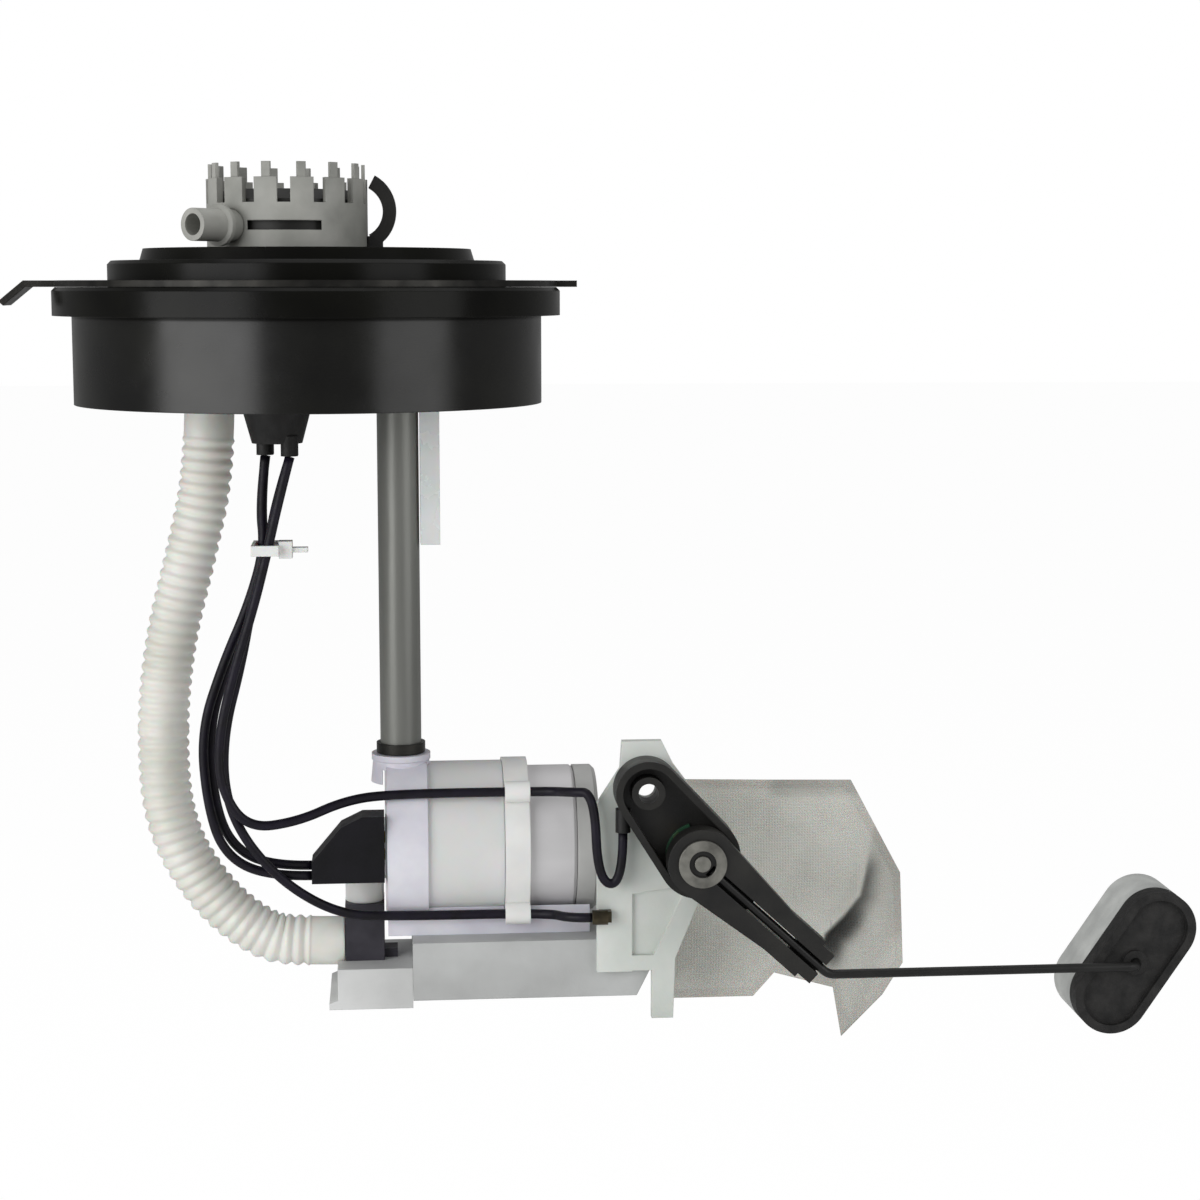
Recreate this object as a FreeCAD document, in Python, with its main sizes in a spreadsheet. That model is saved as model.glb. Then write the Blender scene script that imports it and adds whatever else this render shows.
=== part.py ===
import FreeCAD, Part
import math
import os
import Sketcher
from FreeCAD import Placement, Rotation, Vector

# In-tank fuel pump module, in millimetres.
# The origin is on the flange axis, level with the underside of the rim, which
# seats on the tank. +Z is up out of the tank, +X points towards the float and
# -Y faces the side that carries the level sender.

document = FreeCAD.newDocument("fuel_pump")

# Driving sizes. Each is written once here and goes into the sheet under its name.
SIZES = {
    # flange drum that hangs in the tank opening
    "cup_depth": 22.0,
    "cup_wall": 3.0,
    "rim_radius": 63.5,
    "rim_overhang": 4.75,
    "rim_height": 7.0,
    "land_width": 13.7,
    "deck_top": 13.5,
    "deck_wall": 3.2,
    "hub_radius": 41.0,
    "hub_top": 16.5,
    "edge_break": 0.9,
    "floor_top": -17.0,
    "floor_thick": 2.5,
    "floor_rib": 1.6,
    "floor_rib_count": 12,
    "floor_ring_radius": 26.5,
    "weld_gap": 0.1,
    "fuse_lap": 0.5,
    "thin_lap": 0.2,
    "seal_edge": 1.6,
    "seal_width": 2.0,
    "seal_height": 2.0,
    # steel ring that locks the flange to the tank
    "ring_clear": 0.8,
    "ring_edge": 0.9,
    "ring_thick": 1.6,
    "ring_gap": 0.05,
    "ring_slot_count": 9,
    "ring_slot": 5.0,
    "ring_slot_width": 2.4,
    "ring_slot_shift": 0.2,
    "tab_width": 13.0,
    "tab_reach": 69.4,
    "tab_drop": 4.6,
    "tab_run": 5.6,
    "tab_root": 3.0,
    "tab_slant": 1.2,
    "tab_lift": 1.1,
    "tab_bend": 0.6,
    "ear_reach": 67.5,
    # filter and regulator can on top
    "can_x": -5.0,
    "can_radius": 18.1,
    "can_wall": 1.4,
    "can_low": -12.0,
    "can_top": 31.0,
    "can_bevel": 2.5,
    "can_toe": 1.0,
    "can_fillet": 2.0,
    "can_gap": 0.2,
    "pocket_wall": 2.0,
    "crown_wall": 1.8,
    "crown_top": 33.7,
    "crown_notch_count": 14,
    "crown_notch": 3.2,
    "crown_slot_depth": 8.0,
    "prong_inset": 0.3,
    "crown_notch_low": 27.6,
    "crown_prong": 2.2,
    "crown_prong_top": 37.4,
    "crown_slot": 18.0,
    "crown_slot_low": 20.9,
    "crown_slot_height": 2.3,
    "element_outer": 15.2,
    "element_inner": 8.5,
    "element_web": 2.0,
    "element_gap": 0.2,
    "element_pleats": 18,
    "regulator_radius": 12.0,
    "regulator_wall": 1.5,
    "regulator_step": 0.5,
    "regulator_low": 11.5,
    "regulator_top": 27.0,
    "diaphragm_low": 16.6,
    "diaphragm_thick": 0.8,
    "diaphragm_room": 0.6,
    "diaphragm_lip": 2.0,
    "diaphragm_dip": 0.7,
    "diaphragm_edge": 1.0,
    "stem_radius": 1.5,
    "stem_fit": 0.05,
    "valve_radius": 4.6,
    "valve_thick": 1.5,
    "valve_gap": 0.2,
    "valve_pin": 1.5,
    "stem_reach": 1.0,
    "regulator_coil": 2.9,
    "regulator_wire": 0.4,
    "regulator_turns": 4,
    "nipple_radius": 3.97,
    "nipple_bore": 2.6,
    "nipple_z": 22.0,
    "nipple_reach": 33.0,
    "nipple_angle": 229.0,
    "nipple_end": 8.0,
    "nipple_bead": 5.1,
    "nipple_bead_width": 2.0,
    "nipple_bead_edge": 0.5,
    "clip_radius": 10.0,
    "clip_band": 3.4,
    "clip_arc": 124,
    "clip_toe": 6.6,
    "clip_toe_height": 3.2,
    "clip_width": 7.0,
    "clip_x": 12.3,
    "clip_z": 25.9,
    # electrical socket on the deck
    "socket_y": 29.5,
    "socket_length": 26.0,
    "socket_depth": 12.6,
    "socket_height": 13.5,
    "socket_wall": 1.7,
    "socket_floor": 2.0,
    "key_half": 1.0,
    "key_depth": 1.6,
    "key_drop": 3.0,
    "latch_half": 4.0,
    "latch_depth": 1.4,
    "latch_height": 2.0,
    "blade_width": 2.8,
    "blade_thick": 0.8,
    "blade_height": 6.5,
    "blade_pitch": 5.2,
    # wire boot and hose spigot under the drum
    "boot_x": -7.6,
    "boot_y": -20.0,
    "boot_radius": 9.3,
    "boot_neck": 6.2,
    "boot_low": -31.0,
    "sleeve_low": -34.0,
    "boot_sleeve": 0.9,
    "sleeve_lap": 2.0,
    "pair_x": 3.1,
    "pair_y": 2.8,
    "hose_x": -25.4,
    "spigot_radius": 4.6,
    "spigot_bore": 3.2,
    "spigot_flange": 8.4,
    "spigot_ridge": 3.0,
    "spigot_low": -33.0,
    # guide leg beside the post
    "leg_x": 27.6,
    "leg_width": 5.0,
    "leg_depth": 7.0,
    "leg_web": 1.6,
    "leg_end": 6.0,
    "leg_root": 3.0,
    "leg_flange": 1.0,
    "leg_low": -58.4,
    # sliding post
    "post_x": 22.0,
    "post_radius": 5.3,
    "post_wall": 1.1,
    "post_fit": 0.06,
    "post_top": -14.0,
    "post_low": -115.2,
    "boss_wall": 2.9,
    "carrier_travel": 18.0,
    "post_room": 3.0,
    "plug_top": -34.0,
    "plug_length": 5.0,
    "post_spring_wire": 0.9,
    "post_spring_room": 1.1,
    "post_spring_turns": 8,
    "ferrule_radius": 6.3,
    "ferrule_low": -112.6,
    "ferrule_height": 2.6,
    # pump, lying along X
    "pump_z": -136.2,
    "pump_left": 19.7,
    "pump_right": 66.6,
    "pump_radius": 19.0,
    "pump_wall": 1.2,
    "pump_edge": 0.8,
    "sleeve_left": 17.7,
    "sleeve_right": 48.0,
    "sleeve_gap": 0.2,
    "sleeve_wall": 1.3,
    "band_width": 6.4,
    "band_wall": 1.5,
    "band_gap": 0.15,
    "clip_ring": 2.7,
    "wire_radius": 1.2,
    "wire_gap": 0.15,
    "wire_y": -17.0,
    "wire_rise": 15.9,
    "inlet_right": 72.3,
    "shaft_radius": 1.6,
    "shaft_end": 0.6,
    "shaft_seat": 3.6,
    "shaft_fit": 0.05,
    "core_left": 32.0,
    "core_length": 18.0,
    "core_radius": 12.0,
    "core_slot": 2.2,
    "core_slot_depth": 5.0,
    "core_slot_count": 8,
    "winding_radius": 9.5,
    "winding_length": 2.6,
    "commutator_radius": 5.4,
    "commutator_left": 23.8,
    "commutator_length": 5.0,
    "magnet_wall": 4.6,
    "magnet_span": 140.0,
    "impeller_radius": 14.6,
    "impeller_thick": 3.4,
    "impeller_left": 57.0,
    "plate_thick": 3.0,
    "inlet_wall": 3.0,
    "inlet_port": 1.5,
    "inlet_port_step": 2.6,
    "neck_fillet": 2.0,
    "brush_half": 1.8,
    "brush_length": 8.0,
    "brush_inset": 0.6,
    "vane_count": 30,
    "vane_slot": 1.7,
    "vane_depth": 2.2,
    "chamber_gap": 0.3,
    # outlet side
    "nose_x": 12.15,
    "nose_radius": 5.0,
    "outlet_depth": 3.0,
    "knob_radius": 6.0,
    "knob_reach": 2.2,
    "knob_length": 4.0,
    "bearing_depth": 3.5,
    "bearing_gap": 0.2,
    "port_step": 1.0,
    "spout_floor": 4.0,
    "seat_thick": 2.0,
    "elbow_top": -151.7,
    "elbow_low": -166.7,
    "elbow_half": 5.05,
    "elbow_depth": 6.0,
    "barb_reach": 6.0,
    "barb_flare": 0.3,
    "barb_step": 0.7,
    "barb_wall": 0.6,
    "elbow_wall": 1.5,
    "hook_reach": 3.4,
    "hook_half": 3.0,
    "hook_height": 2.2,
    "hose_radius": 6.6,
    "hose_bore": 5.2,
    "hose_end_z": -162.7,
    "hose_room": 0.4,
    "check_bore": 3.4,
    "check_radius": 2.9,
    "check_lift": 1.5,
    "check_room": 1.4,
    "poppet_stem": 1.2,
    "poppet_top": -154.0,
    "poppet_thick": 1.2,
    "poppet_pin": 1.0,
    "poppet_bevel": 0.8,
    "poppet_edge": 0.5,
    "check_coil": 2.2,
    "check_wire": 0.25,
    "check_turns": 3,
    # pump plug and its two blades
    "plug_left": -0.8,
    "plug_right": 17.5,
    "plug_low": -142.1,
    "plug_high": -125.2,
    "plug_step": -136.6,
    "plug_shoulder_x": 6.6,
    "plug_shoulder_z": -127.8,
    "plug_front": -21.7,
    "plug_depth": 9.0,
    "plug_wall": 2.0,
    "plug_back": 5.5,
    "plug_cavity": 8.0,
    "plug_lip": 3.0,
    "terminal_inset": 6.2,
    "terminal_reach": 6.0,
    # cradle, tray and foot
    "strap_left": 18.2,
    "strap_width": 10.4,
    "strap_wall": 1.0,
    "collar_radius": 7.1,
    "collar_top": -112.8,
    "collar_base": 16.0,
    "collar_flare": 0.7,
    "brim_reach": 0.5,
    "brim_height": 1.6,
    "post_seat": 12.0,
    "saddle_lip": 14.4,
    "strap_ear": 8.0,
    "saddle_half": 15.0,
    "saddle_right": 70.0,
    "tray_left": 24.4,
    "tray_right": 86.4,
    "tray_low": -172.8,
    "tray_half": 22.5,
    "tray_wall": 2.4,
    "tray_slope": 5.0,
    "tray_cells_long": 3,
    "tray_cells_wide": 2,
    "foot_left": 2.9,
    "foot_low": -177.3,
    "foot_flare": 2.2,
    "foot_toe": 1.6,
    "foot_slope": 2.5,
    "foot_half": 14.0,
    "foot_wall": 2.0,
    # strainer
    "neck_radius": 6.0,
    "neck_bore": 4.2,
    "strainer_left": 94.0,
    "strainer_right": 155.3,
    "strainer_top": -121.4,
    "strainer_low": -180.6,
    "strainer_skirt": 5.2,
    "bag_neck": 24.7,
    "bag_neck_drop": 0.6,
    "bag_shoulder": 14.7,
    "bag_shoulder_drop": 1.0,
    "bag_elbow": 1.1,
    "bag_elbow_drop": 26.3,
    "bag_cheek": 8.2,
    "bag_heel": 5.4,
    "bag_heel_drop": 0.5,
    "bag_crease": 2.4,
    "bag_crease_rise": 1.8,
    "bag_arch": 18.4,
    "bag_arch_rise": 6.3,
    "bag_toe": 24.0,
    "bag_skirt_rise": 22.0,
    "bag_waist": 30.0,
    "strainer_tip_x": 138.9,
    "strainer_tip_z": -192.3,
    "strainer_thick": 9.0,
    # level sender
    "bracket_thick": 2.5,
    "bracket_left": 71.0,
    "mast_width": 9.0,
    "mast_foot": 8.0,
    "mast_notch": 11.0,
    "mast_shoulder": 4.0,
    "mast_lap": 6.0,
    "web_corner": 6.0,
    "web_drop": 8.0,
    "plate_reach": 8.0,
    "plate_rise": 4.0,
    "eye_side": 7.0,
    "eye_shoulder": 6.0,
    "eye_crown": 4.0,
    "eye_top": 12.0,
    "eye_step": 6.0,
    "eye_back": 6.5,
    "eye_heel": 5.0,
    "shelf_drop": 27.0,
    "strut_root": 5.0,
    "strut_lead": 4.5,
    "strut_lean": 5.0,
    "strut_knee": 28.0,
    "web_root": 9.0,
    "strut_low": -178.2,
    "strut_width": 5.5,
    "web_thick": 1.4,
    "shelf_height": 4.0,
    "tag_x": 69.5,
    "tag_y": -27.5,
    "tag_z": -150.8,
    "tag_radius": 1.9,
    "tag_length": 4.0,
    "tag_half": 1.4,
    "pivot_x": 96.0,
    "pivot_z": -134.6,
    "eye_x": 83.3,
    "eye_z": -118.2,
    "eye_radius": 8.3,
    "eye_wall": 1.7,
    "eye_inset": 1.2,
    "lead_socket": 1.9,
    "lead_length": 6.0,
    "eye_bore": 2.5,
    "housing_radius": 10.4,
    "housing_depth": 8.5,
    "housing_wall": 1.8,
    "housing_floor": 3.0,
    "card_inner": 4.4,
    "card_outer": 8.0,
    "card_thick": 0.8,
    "card_arc": 112,
    "card_turn": 105,
    "pin_radius": 2.0,
    "pin_fit": 0.05,
    "pin_end": 0.6,
    "arm_gap": 0.5,
    "arm_thick": 5.5,
    "arm_hub": 8.6,
    "arm_width": 11.6,
    "arm_end": 9.4,
    "arm_length": 41.0,
    "arm_angle": 42.5,
    "arm_groove": 3.0,
    "rail_start": 2.0,
    "arm_tip": 4.0,
    "groove_start": 2.4,
    "groove_depth": 3.2,
    "window_start": 17.0,
    "window_end": 9.0,
    "wiper_outer": 7.4,
    "wiper_inner": 5.2,
    "wiper_root": 3.0,
    "wiper_press": 0.1,
    "wiper_thick": 0.5,
    "wiper_half": 1.0,
    "rod_radius": 1.15,
    "rod_start": 1.2,
    "rod_bend": 4.0,
    "axle_bend": 2.5,
    "axle_end": 1.5,
    "rod_knee": 43.5,
    "rod_reach": 80.0,
    "rod_lane": 1.6,
    "hub_ring_outer": 6.0,
    "hub_ring_inner": 3.4,
    "hub_ring_thick": 0.8,
    # float
    "float_length": 40.3,
    "float_width": 19.2,
    "float_angle": 56.0,
    "float_gap": 2.8,
    "cap_depth": 5.5,
    "cap_rim": 2.2,
    "cap_hub": 3.2,
    "cap_hub_inset": 0.4,
    "cap_recess": 1.4,
    "float_depth": 16.5,
    "float_round": 2.0,
    "float_fit": 0.1,
    "nut_radius": 3.0,
    "nut_thick": 0.8,
    "nut_gap": 0.2,
    # strap round the wires
    "tie_left": -14.2,
    "tie_right": -7.4,
    "tie_front": -26.8,
    "tie_back": -13.2,
    "tie_low": -58.4,
    "tie_width": 2.6,
    "tie_wall": 0.9,
    "tie_lap": 0.1,
    "tie_head_front": -24.4,
    "tie_head_back": -20.2,
    "tie_head_low": -59.2,
    "tie_head_top": -55.0,
    "tie_head": 3.2,
    "tie_tail": 7.0,
    "tie_tail_front": -23.6,
    "tie_tail_back": -21.0,
    "tie_tail_low": -57.8,
    "tie_tail_height": 1.2,
}

sheet = document.addObject("Spreadsheet::Sheet", "Sizes")
for row, (alias, number) in enumerate(SIZES.items(), start=1):
    sheet.set("A%d" % row, alias)
    sheet.set("B%d" % row, str(number))
    sheet.setAlias("B%d" % row, alias)
document.recompute()


class Size:
    """A length with both its value and the sheet expression that gives it."""

    def __init__(self, value, text):
        self.value = float(value)
        self.text = text

    def __float__(self):
        return self.value

    def __add__(self, other):
        other = sized(other)
        return Size(self.value + other.value, "(%s + %s)" % (self.text, other.text))

    def __radd__(self, other):
        return sized(other) + self

    def __sub__(self, other):
        other = sized(other)
        return Size(self.value - other.value, "(%s - %s)" % (self.text, other.text))

    def __rsub__(self, other):
        return sized(other) - self

    def __mul__(self, other):
        other = sized(other)
        return Size(self.value * other.value, "(%s * %s)" % (self.text, other.text))

    def __rmul__(self, other):
        return sized(other) * self

    def __truediv__(self, other):
        other = sized(other)
        return Size(self.value / other.value, "(%s / %s)" % (self.text, other.text))

    def __neg__(self):
        return Size(-self.value, "(0 - %s)" % self.text)


def sized(value):
    """A plain number, or a Size as it is."""
    if isinstance(value, Size):
        return value
    return Size(value, "(%r)" % float(value))


class Names:
    """Every sheet cell by its alias."""

    def __init__(self):
        for alias in SIZES:
            setattr(self, alias, Size(sheet.get(alias), "Sizes." + alias))


S = Names()
nodes = []

ALONG = {
    "X": Rotation(Vector(0, 1, 0), 90),
    "Y": Rotation(Vector(1, 0, 0), -90),
    "Z": Rotation(),
}


def bind(item, name, size):
    """Tie one property to the sheet."""
    item.setExpression(name, sized(size).text)


def place(item, x=0, y=0, z=0, turn=Rotation()):
    """Set an object's place, each coordinate tied to the sheet."""
    item.Placement = Placement(Vector(float(x), float(y), float(z)), turn)
    for letter, size in (("x", x), ("y", y), ("z", z)):
        bind(item, "Placement.Base." + letter, size)
    return item


def rod(radius, length, x=0, y=0, z=0, axis="Z"):
    """A cylinder that starts at a point and runs along an axis."""
    item = document.addObject("Part::Cylinder", "Rod")
    bind(item, "Radius", radius)
    bind(item, "Height", length)
    return place(item, x, y, z, ALONG[axis])


def taper(radius_low, radius_high, length, x=0, y=0, z=0, axis="Z"):
    """A cone frustum that starts at a point and runs along an axis."""
    item = document.addObject("Part::Cone", "Taper")
    bind(item, "Radius1", radius_low)
    bind(item, "Radius2", radius_high)
    bind(item, "Height", length)
    return place(item, x, y, z, ALONG[axis])


def block(x, y, z):
    """A box from three pairs of low and high limits."""
    item = document.addObject("Part::Box", "Block")
    bind(item, "Length", sized(x[1]) - x[0])
    bind(item, "Width", sized(y[1]) - y[0])
    bind(item, "Height", sized(z[1]) - z[0])
    return place(item, x[0], y[0], z[0])


def fuse(*items):
    """One object from several that overlap."""
    item = document.addObject("Part::MultiFuse", "Fused")
    item.Shapes = list(items)
    item.Refine = True
    return item


def cut(base, *tools):
    """The base less all the tools."""
    item = document.addObject("Part::Cut", "Trimmed")
    item.Base = base
    item.Tool = tools[0] if len(tools) == 1 else fuse(*tools)
    item.Refine = True
    return item


def tube(outer, inner, length, x=0, y=0, z=0, axis="Z"):
    """A plain hollow cylinder."""
    return cut(rod(outer, length, x, y, z, axis), rod(inner, length, x, y, z, axis))


def sector(outer, inner, length, angle, x=0, y=0, z=0, turn=Rotation()):
    """Part of a ring, which sweeps the angle from its own local X."""
    parts = []
    for radius in (outer, inner):
        item = document.addObject("Part::Cylinder", "Sector")
        bind(item, "Radius", radius)
        bind(item, "Height", length)
        if radius is outer:
            bind(item, "Angle", angle)
        parts.append(place(item, x, y, z, turn))
    return cut(*parts)


def new_body(name):
    return document.addObject("PartDesign::Body", "Body_" + name)


def origin_feature(body, role):
    """The body's own origin plane or axis."""
    for feature in body.Origin.OriginFeatures:
        if feature.Role == role:
            return feature
    raise ValueError(role)


def sketch_on(body, plane):
    sketch = body.newObject("Sketcher::SketchObject", "Sketch")
    sketch.AttachmentSupport = [(origin_feature(body, plane), "")]
    sketch.MapMode = "FlatFace"
    return sketch


def limit(sketch, kind, geometry, point, size):
    """One driving distance from the sketch's origin, tied to the sheet."""
    index = sketch.addConstraint(
        Sketcher.Constraint(kind, -1, 1, geometry, point, float(size)))
    sketch.setExpression("Constraints[%d]" % index, sized(size).text)


def polygon(body, plane, points):
    """A closed outline whose corners are tied to the sheet."""
    sketch = sketch_on(body, plane)
    count = len(points)
    for index in range(count):
        start = points[index]
        end = points[(index + 1) % count]
        sketch.addGeometry(Part.LineSegment(
            Vector(float(start[0]), float(start[1]), 0),
            Vector(float(end[0]), float(end[1]), 0)), False)
    for index in range(count):
        sketch.addConstraint(
            Sketcher.Constraint("Coincident", index, 2, (index + 1) % count, 1))
    for index, (across, up) in enumerate(points):
        limit(sketch, "DistanceX", index, 1, across)
        limit(sketch, "DistanceY", index, 1, up)
    return sketch


def link_outline(body, plane, first, first_radius, second, second_radius):
    """Two round ends of any radius joined by their outer tangents."""
    sketch = sketch_on(body, plane)
    across = float(second[0]) - float(first[0])
    up = float(second[1]) - float(first[1])
    lean = math.atan2(up, across)
    spread = math.acos((float(first_radius) - float(second_radius)) / math.hypot(across, up))
    ends = []
    for centre, radius, start, stop in (
            (first, first_radius, lean + spread, lean - spread + 2 * math.pi),
            (second, second_radius, lean - spread, lean + spread)):
        middle = Vector(float(centre[0]), float(centre[1]), 0)
        circle = Part.Circle(middle, Vector(0, 0, 1), float(radius))
        arc = Part.ArcOfCircle(circle, start, stop)
        ends.append((arc.StartPoint, arc.EndPoint))
        sketch.addGeometry(arc, False)
    sketch.addGeometry(Part.LineSegment(ends[0][0], ends[1][1]), False)
    sketch.addGeometry(Part.LineSegment(ends[0][1], ends[1][0]), False)
    for link in ((0, 1, 2, 1), (2, 2, 1, 2), (0, 2, 3, 1), (3, 2, 1, 1)):
        sketch.addConstraint(Sketcher.Constraint("Tangent", *link))
    for index, (centre, radius) in enumerate(((first, first_radius), (second, second_radius))):
        limit(sketch, "DistanceX", index, 3, centre[0])
        limit(sketch, "DistanceY", index, 3, centre[1])
        row = sketch.addConstraint(Sketcher.Constraint("Radius", index, float(radius)))
        sketch.setExpression("Constraints[%d]" % row, sized(radius).text)
    return sketch


def pad(body, sketch, depth, reversed_side=False):
    feature = body.newObject("PartDesign::Pad", "Pad")
    feature.Profile = sketch
    bind(feature, "Length", depth)
    feature.Reversed = reversed_side
    return feature


def pocket(body, sketch, depth, reversed_side=False):
    """A pocket that is checked to have cut something."""
    document.recompute()
    before = body.Shape.Volume
    feature = body.newObject("PartDesign::Pocket", "Pocket")
    feature.Profile = sketch
    bind(feature, "Length", depth)
    feature.Reversed = reversed_side
    document.recompute()
    if before - body.Shape.Volume < 0.01:
        raise ValueError("a pocket cuts nothing in " + body.Name)
    return feature


def polar(body, feature, count, axis="Z_Axis"):
    """Copies of a feature all round one of the body's own axes."""
    pattern = body.newObject("PartDesign::PolarPattern", "Around")
    pattern.Originals = [feature]
    pattern.Axis = (origin_feature(body, axis), [""])
    pattern.Angle = 360
    bind(pattern, "Occurrences", count)
    body.Tip = pattern
    return pattern


def revolved(name, points, axis="V_Axis", x=0, y=0, z=0):
    """A body turned from an outline on the XZ plane, about Z or about X."""
    body = new_body(name)
    sketch = polygon(body, "XZ_Plane", points)
    feature = body.newObject("PartDesign::Revolution", "Turned")
    feature.Profile = sketch
    feature.ReferenceAxis = (sketch, [axis])
    feature.Angle = 360
    place(body, x, y, z)
    return body


def plate(name, points, back, depth):
    """A flat piece cut to an outline in XZ, from its back face towards -Y."""
    body = new_body(name)
    pad(body, polygon(body, "XZ_Plane", points), depth)
    return place(body, 0, back, 0)


def link_plate(name, first, first_radius, second, second_radius, back, depth):
    """A flat piece with two round ends, from its back face towards -Y."""
    body = new_body(name)
    pad(body, link_outline(body, "XZ_Plane", first, first_radius, second, second_radius), depth)
    return place(body, 0, back, 0)


def node(name, item):
    """Give a finished sub-part its own name."""
    item.Label = name
    nodes.append(item)
    return item


# Round paths of straight runs joined by tangent arcs.

def arc_path(points, radii):
    """A wire along the points, each inner corner rounded to its radius."""
    edges = []
    here = points[0]
    for index in range(1, len(points) - 1):
        before = (points[index] - points[index - 1]).normalize()
        after = (points[index + 1] - points[index]).normalize()
        turn = before.getAngle(after)
        reach = radii[index - 1] * math.tan(turn / 2)
        start = points[index] - before * reach
        stop = points[index] + after * reach
        inward = (after - before).normalize()
        centre = points[index] + inward * (radii[index - 1] / math.cos(turn / 2))
        middle = centre - inward * radii[index - 1]
        if (start - here).Length > 1e-6:
            edges.append(Part.LineSegment(here, start).toShape())
        edges.append(Part.Arc(start, middle, stop).toShape())
        here = stop
    edges.append(Part.LineSegment(here, points[-1]).toShape())
    return Part.Wire(edges)


def soft_radii(points):
    """The largest bend radius that each corner's two runs allow."""
    radii = []
    for index in range(1, len(points) - 1):
        before = points[index] - points[index - 1]
        after = points[index + 1] - points[index]
        turn = before.getAngle(after)
        radii.append(0.45 * min(before.Length, after.Length) / math.tan(turn / 2))
    return radii


def swept(path, radius):
    """A solid of round section along a path."""
    edge = path.Edges[0]
    start = edge.valueAt(edge.FirstParameter)
    along = edge.tangentAt(edge.FirstParameter)
    ring = Part.Wire([Part.Circle(start, along, radius).toShape()])
    return path.makePipeShell([ring], True, False)


def shape_node(name, shape):
    """A sub-part whose shape comes from Part's own functions and the sheet."""
    item = document.addObject("Part::Feature", "Shape_" + name)
    item.Shape = shape
    return node(name, item)


def cord(name, route, radius, bore=None):
    """A cord's tube along its route, with its volume compared with its length."""
    points = [Vector(*point) for point in route]
    radii = soft_radii(points)
    path = arc_path(points, radii)
    solid = swept(path, radius)
    area = math.pi * radius ** 2
    if bore:
        solid = solid.cut(swept(path, bore))
        area = math.pi * (radius ** 2 - bore ** 2)
    share = solid.Volume / (area * path.Length)
    print("%s length %.1f mm, least radius %.1f mm, volume ratio %.4f"
          % (name, path.Length, min(radii), share))
    return shape_node(name, solid)


def coil(name, radius, wire, turns, low, high, x, y):
    """A compression spring with its axis along Z, wound of half turns."""
    rise = (high - low - 2 * wire) / (2 * turns)
    arcs = []
    for half in range(2 * turns):
        side = 1 if half % 2 == 0 else -1
        start = Vector(x + side * radius, y, low + wire + half * rise)
        stop = Vector(x - side * radius, y, start.z + rise)
        centre = (start + stop) / 2
        middle = centre + Vector(0, side * (stop - start).Length / 2, 0)
        arcs.append(Part.Arc(start, middle, stop).toShape())
    return shape_node(name, swept(Part.Wire(arcs), wire))


# Flange drum.

CUP_RADIUS = S.rim_radius - S.rim_overhang
CUP_BORE = CUP_RADIUS - S.cup_wall
DECK_RADIUS = S.rim_radius - S.land_width
DECK_BORE = DECK_RADIUS - S.cup_wall
HUB_BORE = S.hub_radius - S.cup_wall
POCKET_BORE = S.can_radius + S.can_gap
POCKET_OUTER = POCKET_BORE + S.pocket_wall
POST_BORE = S.post_radius + S.post_fit
BOSS_RADIUS = POST_BORE + S.boss_wall
FLOOR_LOW = S.floor_top - S.floor_thick
SEAL_OUTER = S.rim_radius - S.seal_edge
SEAL_INNER = SEAL_OUTER - S.seal_width
RING_INNER = DECK_RADIUS + S.ring_clear
RING_OUTER = S.rim_radius - S.ring_edge
SLOT_INNER = (RING_INNER + RING_OUTER - S.ring_slot_width) / 2 + S.ring_slot_shift
SLOT_OUTER = SLOT_INNER + S.ring_slot_width
BOSS_TOP = S.post_top + S.carrier_travel + S.post_room


def make_flange_cup():
    shell = revolved("flange_cup", [
        (CUP_BORE, -S.cup_depth),
        (CUP_RADIUS, -S.cup_depth),
        (CUP_RADIUS, 0),
        (S.rim_radius, 0),
        (S.rim_radius, S.rim_height - S.edge_break),
        (S.rim_radius - S.edge_break, S.rim_height),
        (DECK_RADIUS, S.rim_height),
        (DECK_RADIUS, S.deck_top - S.edge_break),
        (DECK_RADIUS - S.edge_break, S.deck_top),
        (S.hub_radius + S.edge_break, S.deck_top),
        (S.hub_radius, S.hub_top),
        (0, S.hub_top),
        (0, S.hub_top - S.deck_wall),
        (HUB_BORE, S.hub_top - S.deck_wall),
        (HUB_BORE, S.deck_top - S.deck_wall),
        (DECK_BORE, S.deck_top - S.deck_wall),
        (DECK_BORE, S.rim_height - S.deck_wall),
        (CUP_BORE, S.rim_height - S.deck_wall),
    ])
    inside_top = S.hub_top - S.deck_wall + S.fuse_lap
    pocket_low = S.can_low - S.can_gap - S.pocket_wall
    pocket_wall = rod(POCKET_OUTER, inside_top - pocket_low, S.can_x, 0, pocket_low)
    boss = rod(BOSS_RADIUS, inside_top + S.cup_depth, S.post_x, 0, -S.cup_depth)
    can_bore = rod(POCKET_BORE, S.hub_top - S.can_low + S.can_gap + 1,
                   S.can_x, 0, S.can_low - S.can_gap)
    post_bore = rod(POST_BORE, BOSS_TOP + S.cup_depth, S.post_x, 0, -S.cup_depth)
    groove = cut(rod(SEAL_OUTER, S.seal_height), rod(SEAL_INNER, S.seal_height))
    return node("flange_cup", cut(fuse(shell, pocket_wall, boss), can_bore, post_bore, groove))


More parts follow.
